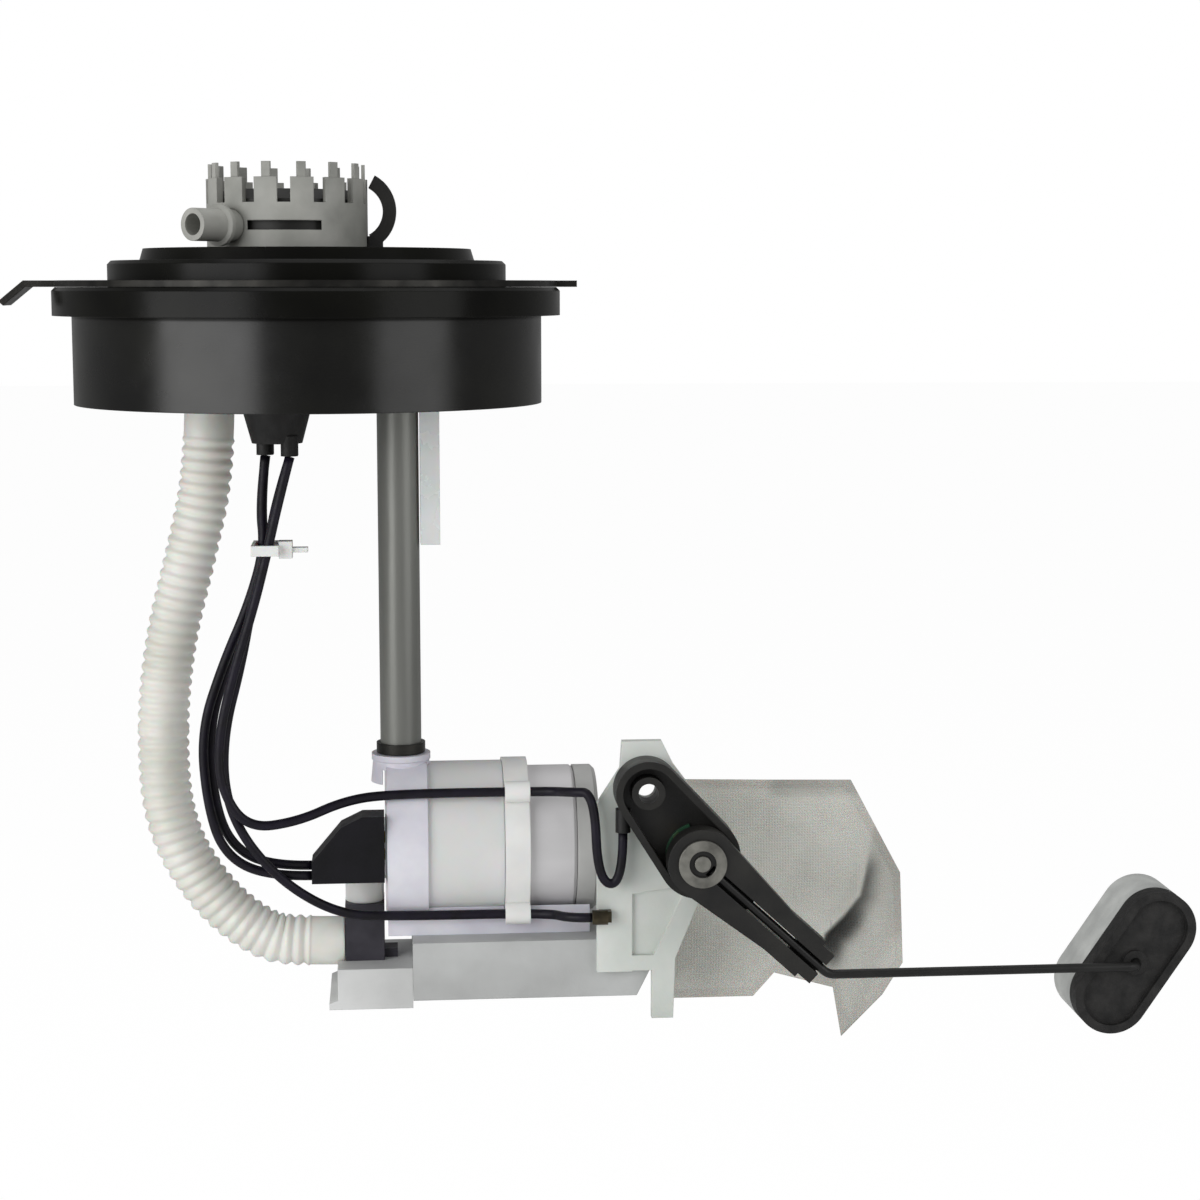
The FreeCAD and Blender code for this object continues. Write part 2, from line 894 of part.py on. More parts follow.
def make_cup_floor():
    """The plate that closes the drum from below, with ribs on its underside."""
    radius = CUP_BORE - S.weld_gap
    floor_low = FLOOR_LOW
    body = new_body("cup_floor")
    ring = polygon(body, "XZ_Plane", [
        (0, floor_low),
        (S.floor_ring_radius, floor_low),
        (S.floor_ring_radius, -S.cup_depth),
        (S.floor_ring_radius + S.floor_rib, -S.cup_depth),
        (S.floor_ring_radius + S.floor_rib, floor_low),
        (radius - S.floor_rib, floor_low),
        (radius - S.floor_rib, -S.cup_depth),
        (radius, -S.cup_depth),
        (radius, S.floor_top),
        (0, S.floor_top),
    ])
    turned_plate = body.newObject("PartDesign::Revolution", "Turned")
    turned_plate.Profile = ring
    turned_plate.ReferenceAxis = (ring, ["V_Axis"])
    turned_plate.Angle = 360
    rib = pad(body, polygon(body, "YZ_Plane", [
        (S.floor_ring_radius + S.floor_rib / 2, -S.cup_depth),
        (radius - S.floor_rib / 2, -S.cup_depth),
        (radius - S.floor_rib / 2, floor_low + S.fuse_lap),
        (S.floor_ring_radius + S.floor_rib / 2, floor_low + S.fuse_lap),
    ]), S.floor_rib)
    polar(body, rib, S.floor_rib_count)
    height = S.floor_thick + S.cup_depth
    boss_hole = rod(BOSS_RADIUS + S.weld_gap, height, S.post_x, 0, -S.cup_depth)
    hose_hole = rod(S.spigot_bore, height, S.hose_x, 0, -S.cup_depth)
    boot_seat = rod(S.boot_radius + S.weld_gap, FLOOR_LOW + S.cup_depth,
                    S.boot_x, S.boot_y, -S.cup_depth)
    return node("cup_floor", cut(fuse(body, hose_spigot()), boss_hole, hose_hole, boot_seat))


def make_tank_seal():
    return node("tank_seal", tube(SEAL_OUTER - S.weld_gap, SEAL_INNER + S.weld_gap,
                                  S.seal_height - S.weld_gap))


def make_lock_ring():
    """The steel ring with its bent tab at the left, two flat ears and rim slots."""
    low = S.rim_height + S.ring_gap
    high = low + S.ring_thick
    root = RING_OUTER - S.tab_root
    ring = tube(RING_OUTER, RING_INNER, S.ring_thick, 0, 0, low)
    left_tab = plate("tab", [
        (-root, low),
        (-S.tab_reach, low),
        (-S.tab_reach - S.tab_run, low - S.tab_drop),
        (-S.tab_reach - S.tab_run - S.tab_slant, low - S.tab_drop + S.tab_lift),
        (-S.tab_reach - S.tab_bend, high),
        (-root, high),
    ], S.tab_width / 2, S.tab_width)
    right_ear = block((root, S.ear_reach), (-S.tab_width / 2, S.tab_width / 2), (low, high))
    back_ear = block((-S.tab_width / 2, S.tab_width / 2), (root, S.ear_reach), (low, high))
    slots = new_body("ring_slots")
    slot = pad(slots, polygon(slots, "XY_Plane", [
        (SLOT_INNER, -S.ring_slot),
        (SLOT_OUTER, -S.ring_slot),
        (SLOT_OUTER, S.ring_slot),
        (SLOT_INNER, S.ring_slot),
    ]), S.ring_thick * 3)
    polar(slots, slot, S.ring_slot_count)
    place(slots, 0, 0, low - S.ring_thick)
    return node("lock_ring", cut(fuse(ring, left_tab, right_ear, back_ear), slots))


# Filter and regulator can.

def make_filter_can():
    bore = S.can_radius - S.can_wall
    return node("filter_can", revolved("filter_can", [
        (0, S.can_low),
        (S.can_radius - S.can_toe, S.can_low),
        (S.can_radius, S.can_low + S.can_toe),
        (S.can_radius, S.can_top - S.can_bevel),
        (S.can_radius - S.can_bevel, S.can_top),
        (0, S.can_top),
        (0, S.can_top - S.can_wall),
        (bore - S.can_fillet, S.can_top - S.can_wall),
        (bore, S.can_top - S.can_wall - S.can_fillet),
        (bore, S.can_low + S.can_wall),
        (0, S.can_low + S.can_wall),
    ], x=S.can_x))


def make_filter_crown():
    """The clamp ring round the can: teeth with prongs, a slot and the pipe's hole."""
    inner = S.can_radius + S.can_gap
    outer = inner + S.crown_wall
    middle = inner + S.crown_wall / 2
    body = new_body("filter_crown")
    ring = polygon(body, "XZ_Plane", [
        (inner, S.hub_top),
        (outer, S.hub_top),
        (outer, S.crown_top),
        (inner, S.crown_top),
    ])
    turned_ring = body.newObject("PartDesign::Revolution", "Turned")
    turned_ring.Profile = ring
    turned_ring.ReferenceAxis = (ring, ["V_Axis"])
    turned_ring.Angle = 360
    notch = pocket(body, polygon(body, "XZ_Plane", [
        (-S.crown_notch / 2, S.crown_notch_low),
        (S.crown_notch / 2, S.crown_notch_low),
        (S.crown_notch / 2, S.crown_top + 1),
        (-S.crown_notch / 2, S.crown_top + 1),
    ]), outer + 1)
    polar(body, notch, S.crown_notch_count)
    place(body, S.can_x)
    prongs = new_body("prongs")
    prong = pad(prongs, polygon(prongs, "XY_Plane", [
        (inner + S.prong_inset, -S.crown_prong / 2),
        (middle + S.prong_inset, -S.crown_prong / 2),
        (middle + S.prong_inset, S.crown_prong / 2),
        (inner + S.prong_inset, S.crown_prong / 2),
    ]), S.crown_prong_top - S.crown_top + 1)
    polar(prongs, prong, S.crown_notch_count)
    place(prongs, S.can_x, 0, S.crown_top - 1, Rotation(Vector(0, 0, 1), PRONG_TURN))
    slot = block((S.can_x - S.crown_slot / 2, S.can_x + S.crown_slot / 2),
                 (-outer - 1, -inner + S.crown_slot_depth),
                 (S.crown_slot_low, S.crown_slot_low + S.crown_slot_height))
    hole = document.addObject("Part::Cylinder", "Hole")
    bind(hole, "Radius", S.nipple_radius + S.weld_gap)
    bind(hole, "Height", S.nipple_reach)
    place(hole, S.can_x, 0, S.nipple_z, NIPPLE_TURN)
    return node("filter_crown", cut(fuse(body, prongs), slot, hole))


NOTCH_STEP = 360 / SIZES["crown_notch_count"]
PRONG_TURN = 90 + NOTCH_STEP / 2
NIPPLE_TURN = Rotation(Vector(0, 0, 1), SIZES["nipple_angle"]).multiply(ALONG["X"])


def make_supply_nipple():
    """The outlet pipe with its retaining bead, pointing out and to the front."""
    start = S.can_radius + S.can_gap / 2
    bead = S.nipple_reach - S.nipple_end
    pipe = revolved("supply_nipple", [
        (S.nipple_bore, start),
        (S.nipple_radius, start),
        (S.nipple_radius, bead - S.nipple_bead_width),
        (S.nipple_bead, bead - S.nipple_bead_width + S.nipple_bead_edge),
        (S.nipple_bead, bead - S.nipple_bead_edge),
        (S.nipple_radius, bead),
        (S.nipple_radius, S.nipple_reach),
        (S.nipple_bore, S.nipple_reach),
    ])
    return node("supply_nipple", place(pipe, S.can_x, 0, S.nipple_z, NIPPLE_TURN))


def make_filter_element():
    """The pleated paper ring inside the can."""
    count = SIZES["element_pleats"]
    body = new_body("filter_element")
    corners = []
    for index in range(2 * count):
        radius = S.element_outer if index % 2 == 0 else S.element_inner + S.element_web
        angle = math.pi * index / count
        corners.append((radius * math.cos(angle), radius * math.sin(angle)))
    pad(body, polygon(body, "XY_Plane", corners), ELEMENT_TOP - ELEMENT_LOW)
    place(body, S.can_x, 0, ELEMENT_LOW)
    core = rod(S.element_inner, ELEMENT_TOP - ELEMENT_LOW, S.can_x, 0, ELEMENT_LOW)
    return node("filter_element", cut(body, core))


def make_regulator_body():
    """The cup above the filter that holds the diaphragm, valve and spring."""
    wall = S.regulator_wall
    guide = S.stem_radius + S.stem_fit
    return node("regulator_body", revolved("regulator_body", [
        (guide, S.regulator_low),
        (S.regulator_radius, S.regulator_low),
        (S.regulator_radius, S.regulator_top),
        (0, S.regulator_top),
        (0, S.regulator_top - wall),
        (S.regulator_radius - wall, S.regulator_top - wall),
        (S.regulator_radius - wall, S.regulator_low + wall + S.regulator_step),
        (guide, S.regulator_low + wall + S.regulator_step),
    ], x=S.can_x))


def make_regulator_diaphragm():
    outer = S.regulator_radius - S.regulator_wall - S.weld_gap
    return node("regulator_diaphragm", revolved("regulator_diaphragm", [
        (S.stem_radius + S.diaphragm_room, S.diaphragm_low),
        (S.valve_radius, S.diaphragm_low),
        (S.valve_radius + S.diaphragm_lip, S.diaphragm_low - S.diaphragm_dip),
        (outer - S.diaphragm_edge, S.diaphragm_low),
        (outer, S.diaphragm_low),
        (outer, S.diaphragm_low + S.diaphragm_thick),
        (outer - S.diaphragm_edge, S.diaphragm_low + S.diaphragm_thick),
        (S.valve_radius + S.diaphragm_lip,
         S.diaphragm_low + S.diaphragm_thick - S.diaphragm_dip),
        (S.valve_radius, S.diaphragm_low + S.diaphragm_thick),
        (S.stem_radius + S.diaphragm_room, S.diaphragm_low + S.diaphragm_thick),
    ], x=S.can_x))


ELEMENT_LOW = S.can_low + S.can_wall + S.element_gap
ELEMENT_TOP = S.regulator_low - S.element_gap
VALVE_LOW = S.diaphragm_low + S.diaphragm_thick + S.valve_gap
VALVE_TOP = VALVE_LOW + S.valve_thick


def make_regulator_valve():
    return node("regulator_valve", revolved("regulator_valve", [
        (0, S.regulator_low - S.stem_reach),
        (S.stem_radius, S.regulator_low - S.stem_reach),
        (S.stem_radius, VALVE_LOW),
        (S.valve_radius, VALVE_LOW),
        (S.valve_radius, VALVE_TOP),
        (S.stem_radius, VALVE_TOP),
        (S.stem_radius, VALVE_TOP + S.valve_pin),
        (0, VALVE_TOP + S.valve_pin),
    ], x=S.can_x))


def make_regulator_spring():
    low = float(VALVE_TOP + S.weld_gap)
    high = float(S.regulator_top - S.regulator_wall - S.weld_gap)
    return coil("regulator_spring", float(S.regulator_coil), float(S.regulator_wire),
                SIZES["regulator_turns"], low, high, float(S.can_x), 0)


def make_can_clip():
    """The springy black hook that holds a hose or plug against the can."""
    arc = SIZES["clip_arc"]
    turn = Rotation(Vector(1, 0, 0), -90).multiply(Rotation(Vector(0, 0, 1), -arc / 2))
    band = sector(S.clip_radius, S.clip_radius - S.clip_band, S.clip_width, arc,
                  S.clip_x, -S.clip_width / 2, S.clip_z, turn)
    toe = block((S.can_x + S.can_radius + S.can_gap + S.crown_wall, S.clip_x + S.clip_toe),
                (-S.clip_width / 2, S.clip_width / 2),
                (S.hub_top, S.hub_top + S.clip_toe_height))
    return node("can_clip", fuse(band, toe))


# Electrical socket.

SOCKET_FLOOR = S.hub_top + S.socket_floor


def make_connector_socket():
    """The oblong shell behind the can, with a key rib inside its back wall."""
    half = S.socket_length / 2
    wall = S.socket_wall
    high = S.hub_top + S.socket_height
    front = S.socket_y - S.socket_depth / 2
    back = S.socket_y + S.socket_depth / 2
    middle = S.can_x
    shell = block((middle - half, middle + half), (front, back), (S.hub_top, high))
    cavity = block((middle - half + wall, middle + half - wall), (front + wall, back - wall),
                   (SOCKET_FLOOR, high + 1))
    key_top = high - S.key_drop
    key = block((middle - S.key_half, middle + S.key_half),
                (back - S.thin_lap, back + S.key_depth), (S.hub_top, key_top))
    latch = block((middle - S.latch_half, middle + S.latch_half),
                  (front - S.latch_depth, front + S.thin_lap),
                  (key_top - S.latch_height, key_top))
    return node("connector_socket", cut(fuse(shell, key, latch), cavity))


def make_connector_blades():
    """Four flat terminals that stand up inside the socket."""
    blades = []
    for step in (-1.5, -0.5, 0.5, 1.5):
        x = S.can_x + S.blade_pitch * step
        blades.append(block((x - S.blade_width / 2, x + S.blade_width / 2),
                            (S.socket_y - S.blade_thick / 2, S.socket_y + S.blade_thick / 2),
                            (SOCKET_FLOOR, SOCKET_FLOOR + S.blade_height)))
    group = document.addObject("Part::Compound", "Blades")
    group.Links = blades
    return node("connector_blades", group)


# Pieces under the drum.

def make_wire_boot():
    """The funnel that gathers the wires, with two sleeves that each hold a pair."""
    cone = taper(S.boot_neck, S.boot_radius, FLOOR_LOW - S.boot_low,
                 S.boot_x, S.boot_y, S.boot_low)
    sleeves = []
    for side in (-1, 1):
        for way in (-0.5, 0.5):
            sleeves.append(rod(S.wire_radius + S.boot_sleeve,
                               S.boot_low - S.sleeve_low + S.sleeve_lap,
                               S.boot_x + S.pair_x * side,
                               PAIR_MIDDLE[side] + S.pair_y * way, S.sleeve_low))
    return node("wire_boot", fuse(cone, *sleeves))


PAIR_MIDDLE = {-1: S.boot_y + S.pair_y, 1: S.boot_y - S.pair_y}


def hose_spigot():
    """The ridged pipe under the floor plate that the hose is pushed on to."""
    root = S.spigot_radius - S.barb_step
    return revolved("hose_spigot", [
        (S.spigot_bore, S.spigot_low),
        (root, S.spigot_low),
        (S.spigot_radius, S.spigot_low + S.spigot_ridge),
        (root, S.spigot_low + S.spigot_ridge),
        (S.spigot_radius, S.spigot_low + 2 * S.spigot_ridge),
        (root, S.spigot_low + 2 * S.spigot_ridge),
        (root, -S.cup_depth),
        (S.spigot_flange, -S.cup_depth),
        (S.spigot_flange, FLOOR_LOW + S.fuse_lap),
        (S.spigot_bore, FLOOR_LOW + S.fuse_lap),
    ], x=S.hose_x)


def make_guide_leg():
    """The clear strip beside the post, channel shaped, with a hook at its end."""
    left = S.leg_x
    right = S.leg_x + S.leg_width
    half = S.leg_depth / 2
    strip = block((left, right), (-half, half), (S.leg_low, -S.cup_depth))
    channel = block((left - S.leg_flange, right - S.leg_web),
                    (-half + S.leg_web, half - S.leg_web),
                    (S.leg_low + S.leg_end, -S.cup_depth - S.leg_root))
    return node("guide_leg", cut(strip, channel))


# Sliding post and its spring.

def make_guide_post():
    """The steel tube, closed inside by the seat that its spring stands on."""
    pipe = tube(S.post_radius, S.post_radius - S.post_wall,
                S.post_top - S.post_low, S.post_x, 0, S.post_low)
    seat = rod(S.post_radius - S.post_wall / 2, S.plug_length, S.post_x, 0,
               S.plug_top - S.plug_length)
    return node("guide_post", fuse(pipe, seat))


def make_post_ferrule():
    return node("post_ferrule", tube(S.ferrule_radius, S.post_radius + S.post_fit,
                                     S.ferrule_height, S.post_x, 0, S.ferrule_low))


def make_post_spring():
    radius = float(S.post_radius - S.post_wall - S.post_spring_room)
    return coil("post_spring", radius, float(S.post_spring_wire) / 2,
                SIZES["post_spring_turns"], float(S.plug_top), float(BOSS_TOP - S.weld_gap),
                float(S.post_x), 0)


# Pump.

PUMP_BORE = S.pump_radius - S.pump_wall
SLEEVE_BORE = S.pump_radius + S.sleeve_gap
SLEEVE_OUTER = SLEEVE_BORE + S.sleeve_wall
STRAP_BORE = SLEEVE_OUTER + S.band_gap
STRAP_OUTER = STRAP_BORE + S.strap_wall
BAND_LEFT = S.sleeve_right + S.weld_gap
BAND_OUTER = SLEEVE_OUTER + S.band_wall / 2
BEARING = S.shaft_radius + S.shaft_fit
UPPER_WIRE_Z = S.pump_z + S.wire_rise
LOWER_WIRE_Z = S.pump_z - S.wire_rise
PORT_RADIUS = S.check_bore - S.port_step


def make_pump_can():
    """The steel shell, rolled in over the edge at both ends."""
    return node("pump_can", revolved("pump_can", [
        (S.pump_left, PUMP_BORE),
        (S.pump_left, S.pump_radius - S.pump_edge),
        (S.pump_left + S.pump_edge, S.pump_radius),
        (S.pump_right - S.pump_edge, S.pump_radius),
        (S.pump_right, S.pump_radius - S.pump_edge),
        (S.pump_right, PUMP_BORE),
    ], "H_Axis", 0, 0, S.pump_z))


def make_pump_sleeve():
    return node("pump_sleeve", tube(SLEEVE_OUTER, SLEEVE_BORE,
                                    S.sleeve_right - S.sleeve_left,
                                    S.sleeve_left, 0, S.pump_z, "X"))


def make_pump_band():
    """The white clip ring that carries both wires past the pump."""
    left = BAND_LEFT
    inner = S.pump_radius + S.band_gap
    outer = BAND_OUTER
    rings = []
    holes = []
    for z in (UPPER_WIRE_Z, LOWER_WIRE_Z):
        rings.append(rod(S.clip_ring, S.band_width, left, S.wire_y, z, "X"))
        holes.append(rod(S.wire_radius + S.wire_gap, S.band_width, left, S.wire_y, z, "X"))
    band = rod(outer, S.band_width, left, 0, S.pump_z, "X")
    bore = rod(inner, S.band_width, left, 0, S.pump_z, "X")
    return node("pump_band", cut(fuse(band, *rings), bore, *holes))


def make_outlet_cover():
    """The white left end of the pump: rear bearing, brush tubes and the outlet nose."""
    radius = PUMP_BORE - S.weld_gap
    disc = rod(radius, S.pump_left + S.outlet_depth - S.sleeve_left, S.sleeve_left, 0,
               S.pump_z, "X")
    nose = rod(S.nose_radius, S.sleeve_left + 1 - S.nose_x, S.nose_x, 0,
               S.pump_z - S.nose_radius, "X")
    spout = rod(S.nose_radius, S.pump_z - S.elbow_top, S.nose_x, 0, S.elbow_top)
    knob = rod(S.knob_radius, S.knob_length, S.sleeve_left - S.knob_reach, 0, S.pump_z, "X")
    bearing = rod(BEARING, S.bearing_depth, S.pump_left + S.bearing_gap, 0, S.pump_z, "X")
    bore = rod(PORT_RADIUS, S.pump_z - S.elbow_top - S.spout_floor, S.nose_x, 0, S.elbow_top)
    return node("outlet_cover", cut(fuse(disc, nose, spout, knob), bearing, bore))


def make_inlet_cover():
    """The white right end: impeller chamber, front bearing and the neck to the strainer."""
    left = S.impeller_left + S.impeller_thick + S.chamber_gap
    radius = PUMP_BORE - S.weld_gap
    inner = S.impeller_radius + S.chamber_gap
    start = S.impeller_left - S.chamber_gap
    cover = revolved("inlet_cover", [
        (start, inner),
        (start, radius),
        (S.pump_right + S.weld_gap, radius),
        (S.pump_right + S.weld_gap, S.pump_radius),
        (S.inlet_right - 1, S.pump_radius),
        (S.inlet_right, S.pump_radius - 1),
        (S.inlet_right, S.neck_radius + S.neck_fillet),
        (S.inlet_right + S.neck_fillet, S.neck_radius),
        (S.strainer_left, S.neck_radius),
        (S.strainer_left, S.neck_bore),
        (S.inlet_right, S.neck_bore),
        (S.inlet_right, 0),
        (S.inlet_right - S.inlet_wall, 0),
        (S.inlet_right - S.inlet_wall, BEARING),
        (left, BEARING),
        (left, inner),
    ], "H_Axis", 0, 0, S.pump_z)
    ports = [rod(S.inlet_port, S.inlet_right - left + 2, left - 1, way, S.pump_z, "X")
             for way in (-S.inlet_port_step, S.inlet_port_step)]
    return node("inlet_cover", cut(cover, *ports))


def make_pump_plate():
    """The chamber plate between the motor and the impeller, with the front bearing."""
    radius = PUMP_BORE - S.weld_gap
    left = S.impeller_left - S.chamber_gap - S.plate_thick
    return node("pump_plate", tube(radius, BEARING, S.plate_thick, left, 0, S.pump_z, "X"))


def make_pump_magnets():
    """Two curved magnets held against the shell."""
    outer = PUMP_BORE - S.weld_gap
    inner = outer - S.magnet_wall
    arcs = []
    for start in (90, 270):
        turn = ALONG["X"].multiply(Rotation(Vector(0, 0, 1), start - SIZES["magnet_span"] / 2))
        arcs.append(sector(outer, inner, S.core_length + 2, S.magnet_span,
                           S.core_left - 1, 0, S.pump_z, turn))
    group = document.addObject("Part::Compound", "Magnets")
    group.Links = arcs
    return node("pump_magnets", group)


def make_pump_brushes():
    """Two carbon blocks that press on the commutator from above and below."""
    x = (S.commutator_left + S.brush_inset,
         S.commutator_left + S.commutator_length - S.brush_inset)
    y = (-S.brush_half, S.brush_half)
    near = S.commutator_radius + S.weld_gap
    far = near + S.brush_length
    blocks = [
        block(x, y, (S.pump_z + near, S.pump_z + far)),
        block(x, y, (S.pump_z - far, S.pump_z - near)),
    ]
    group = document.addObject("Part::Compound", "Brushes")
    group.Links = blocks
    return node("pump_brushes", group)


def make_rotor_shaft():
    left = S.pump_left + S.shaft_end
    return node("rotor_shaft", rod(S.shaft_radius, S.inlet_right - S.shaft_seat - left,
                                   left, 0, S.pump_z, "X"))


CORE_SIDES = 24


def make_rotor_core():
    """The slotted iron core of the armature."""
    body = new_body("rotor_core")
    disc = polygon(body, "YZ_Plane", [
        (S.core_radius * math.cos(2 * math.pi * index / CORE_SIDES),
         S.core_radius * math.sin(2 * math.pi * index / CORE_SIDES))
        for index in range(CORE_SIDES)])
    pad(body, disc, S.core_length)
    slot = pocket(body, polygon(body, "YZ_Plane", [
        (-S.core_slot / 2, S.core_radius - S.core_slot_depth),
        (S.core_slot / 2, S.core_radius - S.core_slot_depth),
        (S.core_slot / 2, S.core_radius + 1),
        (-S.core_slot / 2, S.core_radius + 1),
    ]), S.core_length, True)
    polar(body, slot, S.core_slot_count, "X_Axis")
    place(body, S.core_left, 0, S.pump_z)
    bore = rod(S.shaft_radius, S.core_length, S.core_left, 0, S.pump_z, "X")
    return node("rotor_core", cut(body, bore))


def make_rotor_windings():
    """The copper end turns on both sides of the core."""
    ends = []
    for x in (S.core_left - S.winding_length, S.core_left + S.core_length):
        ends.append(tube(S.winding_radius, S.shaft_radius, S.winding_length,
                         x, 0, S.pump_z, "X"))
    group = document.addObject("Part::Compound", "Windings")
    group.Links = ends
    return node("rotor_windings", group)


def make_commutator():
    return node("commutator", tube(S.commutator_radius, S.shaft_radius,
                                   S.commutator_length, S.commutator_left, 0,
                                   S.pump_z, "X"))


def make_impeller():
    """The turbine disc, with a ring of vane slots cut into its edge."""
    body = new_body("impeller")
    ring = polygon(body, "XZ_Plane", [
        (0, S.shaft_radius),
        (0, S.impeller_radius),
        (S.impeller_thick, S.impeller_radius),
        (S.impeller_thick, S.shaft_radius),
    ])
    disc = body.newObject("PartDesign::Revolution", "Turned")
    disc.Profile = ring
    disc.ReferenceAxis = (ring, ["H_Axis"])
    disc.Angle = 360
    slot = pocket(body, polygon(body, "YZ_Plane", [
        (-S.vane_slot / 2, S.impeller_radius - S.vane_depth),
        (S.vane_slot / 2, S.impeller_radius - S.vane_depth),
        (S.vane_slot / 2, S.impeller_radius + 1),
        (-S.vane_slot / 2, S.impeller_radius + 1),
    ]), S.impeller_thick, True)
    polar(body, slot, S.vane_count, "X_Axis")
    return node("impeller", place(body, S.impeller_left, 0, S.pump_z))


# Outlet elbow with its check valve.

POPPET_LOW = S.poppet_top - S.poppet_thick
CHECK_LEDGE = POPPET_LOW - S.poppet_stem - S.check_lift - S.check_room
BARB_RADIUS = S.spigot_radius - S.barb_step


def make_outlet_elbow():
    """The dark elbow under the nose: a valve bore down, and a barb to the left."""
    left = S.nose_x - S.elbow_half
    right = S.nose_x + S.elbow_half
    shell = block((left, right), (-S.elbow_depth, S.elbow_depth), (S.elbow_low, S.elbow_top))
    barb = taper(BARB_RADIUS, BARB_RADIUS + S.barb_flare, S.barb_reach + S.fuse_lap,
                 left - S.barb_reach, 0, S.hose_end_z, "X")
    hook = block((right - S.thin_lap, right + S.hook_reach), (-S.hook_half, S.hook_half),
                 (S.elbow_low, S.elbow_low + S.hook_height))
    across = rod(S.spigot_bore - S.barb_wall, S.barb_reach + 2 * S.elbow_half - S.elbow_wall,
                 left - S.barb_reach, 0, S.hose_end_z, "X")
    seat_top = rod(PORT_RADIUS, S.seat_thick, S.nose_x, 0, S.elbow_top - S.seat_thick)
    chamber = rod(S.check_bore, S.elbow_top - S.seat_thick - CHECK_LEDGE, S.nose_x, 0,
                  CHECK_LEDGE)
    drain = rod(PORT_RADIUS, CHECK_LEDGE - S.hose_end_z, S.nose_x, 0, S.hose_end_z)
    return node("outlet_elbow", cut(fuse(shell, barb, hook), across, seat_top, chamber, drain))


def make_check_poppet():
    """The outlet valve's disc with its guide stem."""
    return node("check_poppet", revolved("check_poppet", [
        (0, POPPET_LOW - S.poppet_stem),
        (S.poppet_pin, POPPET_LOW - S.poppet_stem),
        (S.poppet_pin, POPPET_LOW),
        (S.check_radius, POPPET_LOW),
        (S.check_radius, S.poppet_top - S.poppet_edge),
        (S.check_radius - S.poppet_bevel, S.poppet_top),
        (0, S.poppet_top),
    ], x=S.nose_x))


def make_check_spring():
    return coil("check_spring", float(S.check_coil), float(S.check_wire),
                SIZES["check_turns"], float(CHECK_LEDGE), float(POPPET_LOW - S.weld_gap),
                float(S.nose_x), 0)


# Plug on the pump's terminals.

def make_pump_plug():
    """The black wedge-shaped connector with a cavity for the pump's blades."""
    left = S.plug_left
    body = plate("pump_plug", [
        (left, S.plug_low),
        (S.plug_right, S.plug_low),
        (S.plug_right, S.plug_high),
        (S.plug_right - S.plug_back, S.plug_high),
        (S.plug_shoulder_x, S.plug_shoulder_z),
        (left, S.plug_step),
    ], S.plug_front + S.plug_depth, S.plug_depth)
    cavity = block((S.plug_right - S.plug_cavity, S.plug_right + 1),
                   (S.plug_front + S.plug_wall, S.plug_front + S.plug_depth - S.plug_wall),
                   (S.plug_low + S.plug_lip, S.plug_high - S.plug_lip))
    return node("pump_plug", cut(body, cavity))


def make_pump_terminals():
    """Two blades that stand out of the pump's end into the plug."""
    middle = S.plug_front + S.plug_depth / 2
    blades = []
    for z in (S.plug_low + S.terminal_inset, S.plug_high - S.terminal_inset):
        blades.append(block((S.plug_right - S.terminal_reach, S.sleeve_left),
                            (middle, middle + S.blade_thick),
                            (z - S.blade_width / 2, z + S.blade_width / 2)))
    group = document.addObject("Part::Compound", "Terminals")
    group.Links = blades
    return node("pump_terminals", group)


# Cradle, tray and foot.

SADDLE_LOW = S.pump_z - STRAP_OUTER


def make_cradle():
    """The white saddle under the pump, with a strap over it that carries the post."""
    strap = rod(STRAP_OUTER, S.strap_width, S.strap_left, 0, S.pump_z, "X")
    saddle = block((S.strap_left, S.saddle_right), (-S.saddle_half, S.saddle_half),
                   (SADDLE_LOW, S.pump_z))
    collar = taper(S.collar_radius + S.collar_flare, S.collar_radius,
                   S.collar_top - S.pump_z - S.collar_base, S.post_x, 0,
                   S.pump_z + S.collar_base)
    brim = rod(S.collar_radius + S.brim_reach, S.brim_height, S.post_x, 0,
               S.collar_top - S.brim_height)
    bore = rod(STRAP_BORE, S.saddle_right - S.strap_left + 2, S.strap_left - 1, 0,
               S.pump_z, "X")
    bare = block((S.strap_left + S.strap_width, S.saddle_right + 1),
                 (-S.saddle_half - 1, S.saddle_half + 1),
                 (S.pump_z - S.saddle_lip, S.pump_z + 1))
    seat = rod(S.post_radius + S.post_fit, S.post_seat, S.post_x, 0, S.post_low)
    band_room = rod(BAND_OUTER + S.band_gap, S.band_width + 2 * S.band_gap,
                    BAND_LEFT - S.band_gap, 0, S.pump_z, "X")
    clip_room = rod(S.clip_ring + S.band_gap, S.band_width + 2 * S.band_gap,
                    BAND_LEFT - S.band_gap, S.wire_y, LOWER_WIRE_Z, "X")
    sides = [block((S.strap_left - 1, S.strap_left + S.strap_width + 1), limits,
                   (S.pump_z - S.saddle_lip, S.pump_z + 1))
             for limits in ((-S.saddle_half - 1, S.strap_ear - STRAP_OUTER),
                            (STRAP_OUTER - S.strap_ear, S.saddle_half + 1))]
    saddle_open = cut(saddle, *sides)
    return node("cradle", cut(fuse(strap, saddle_open, collar, brim), bore, bare, seat,
                              band_room, clip_room))


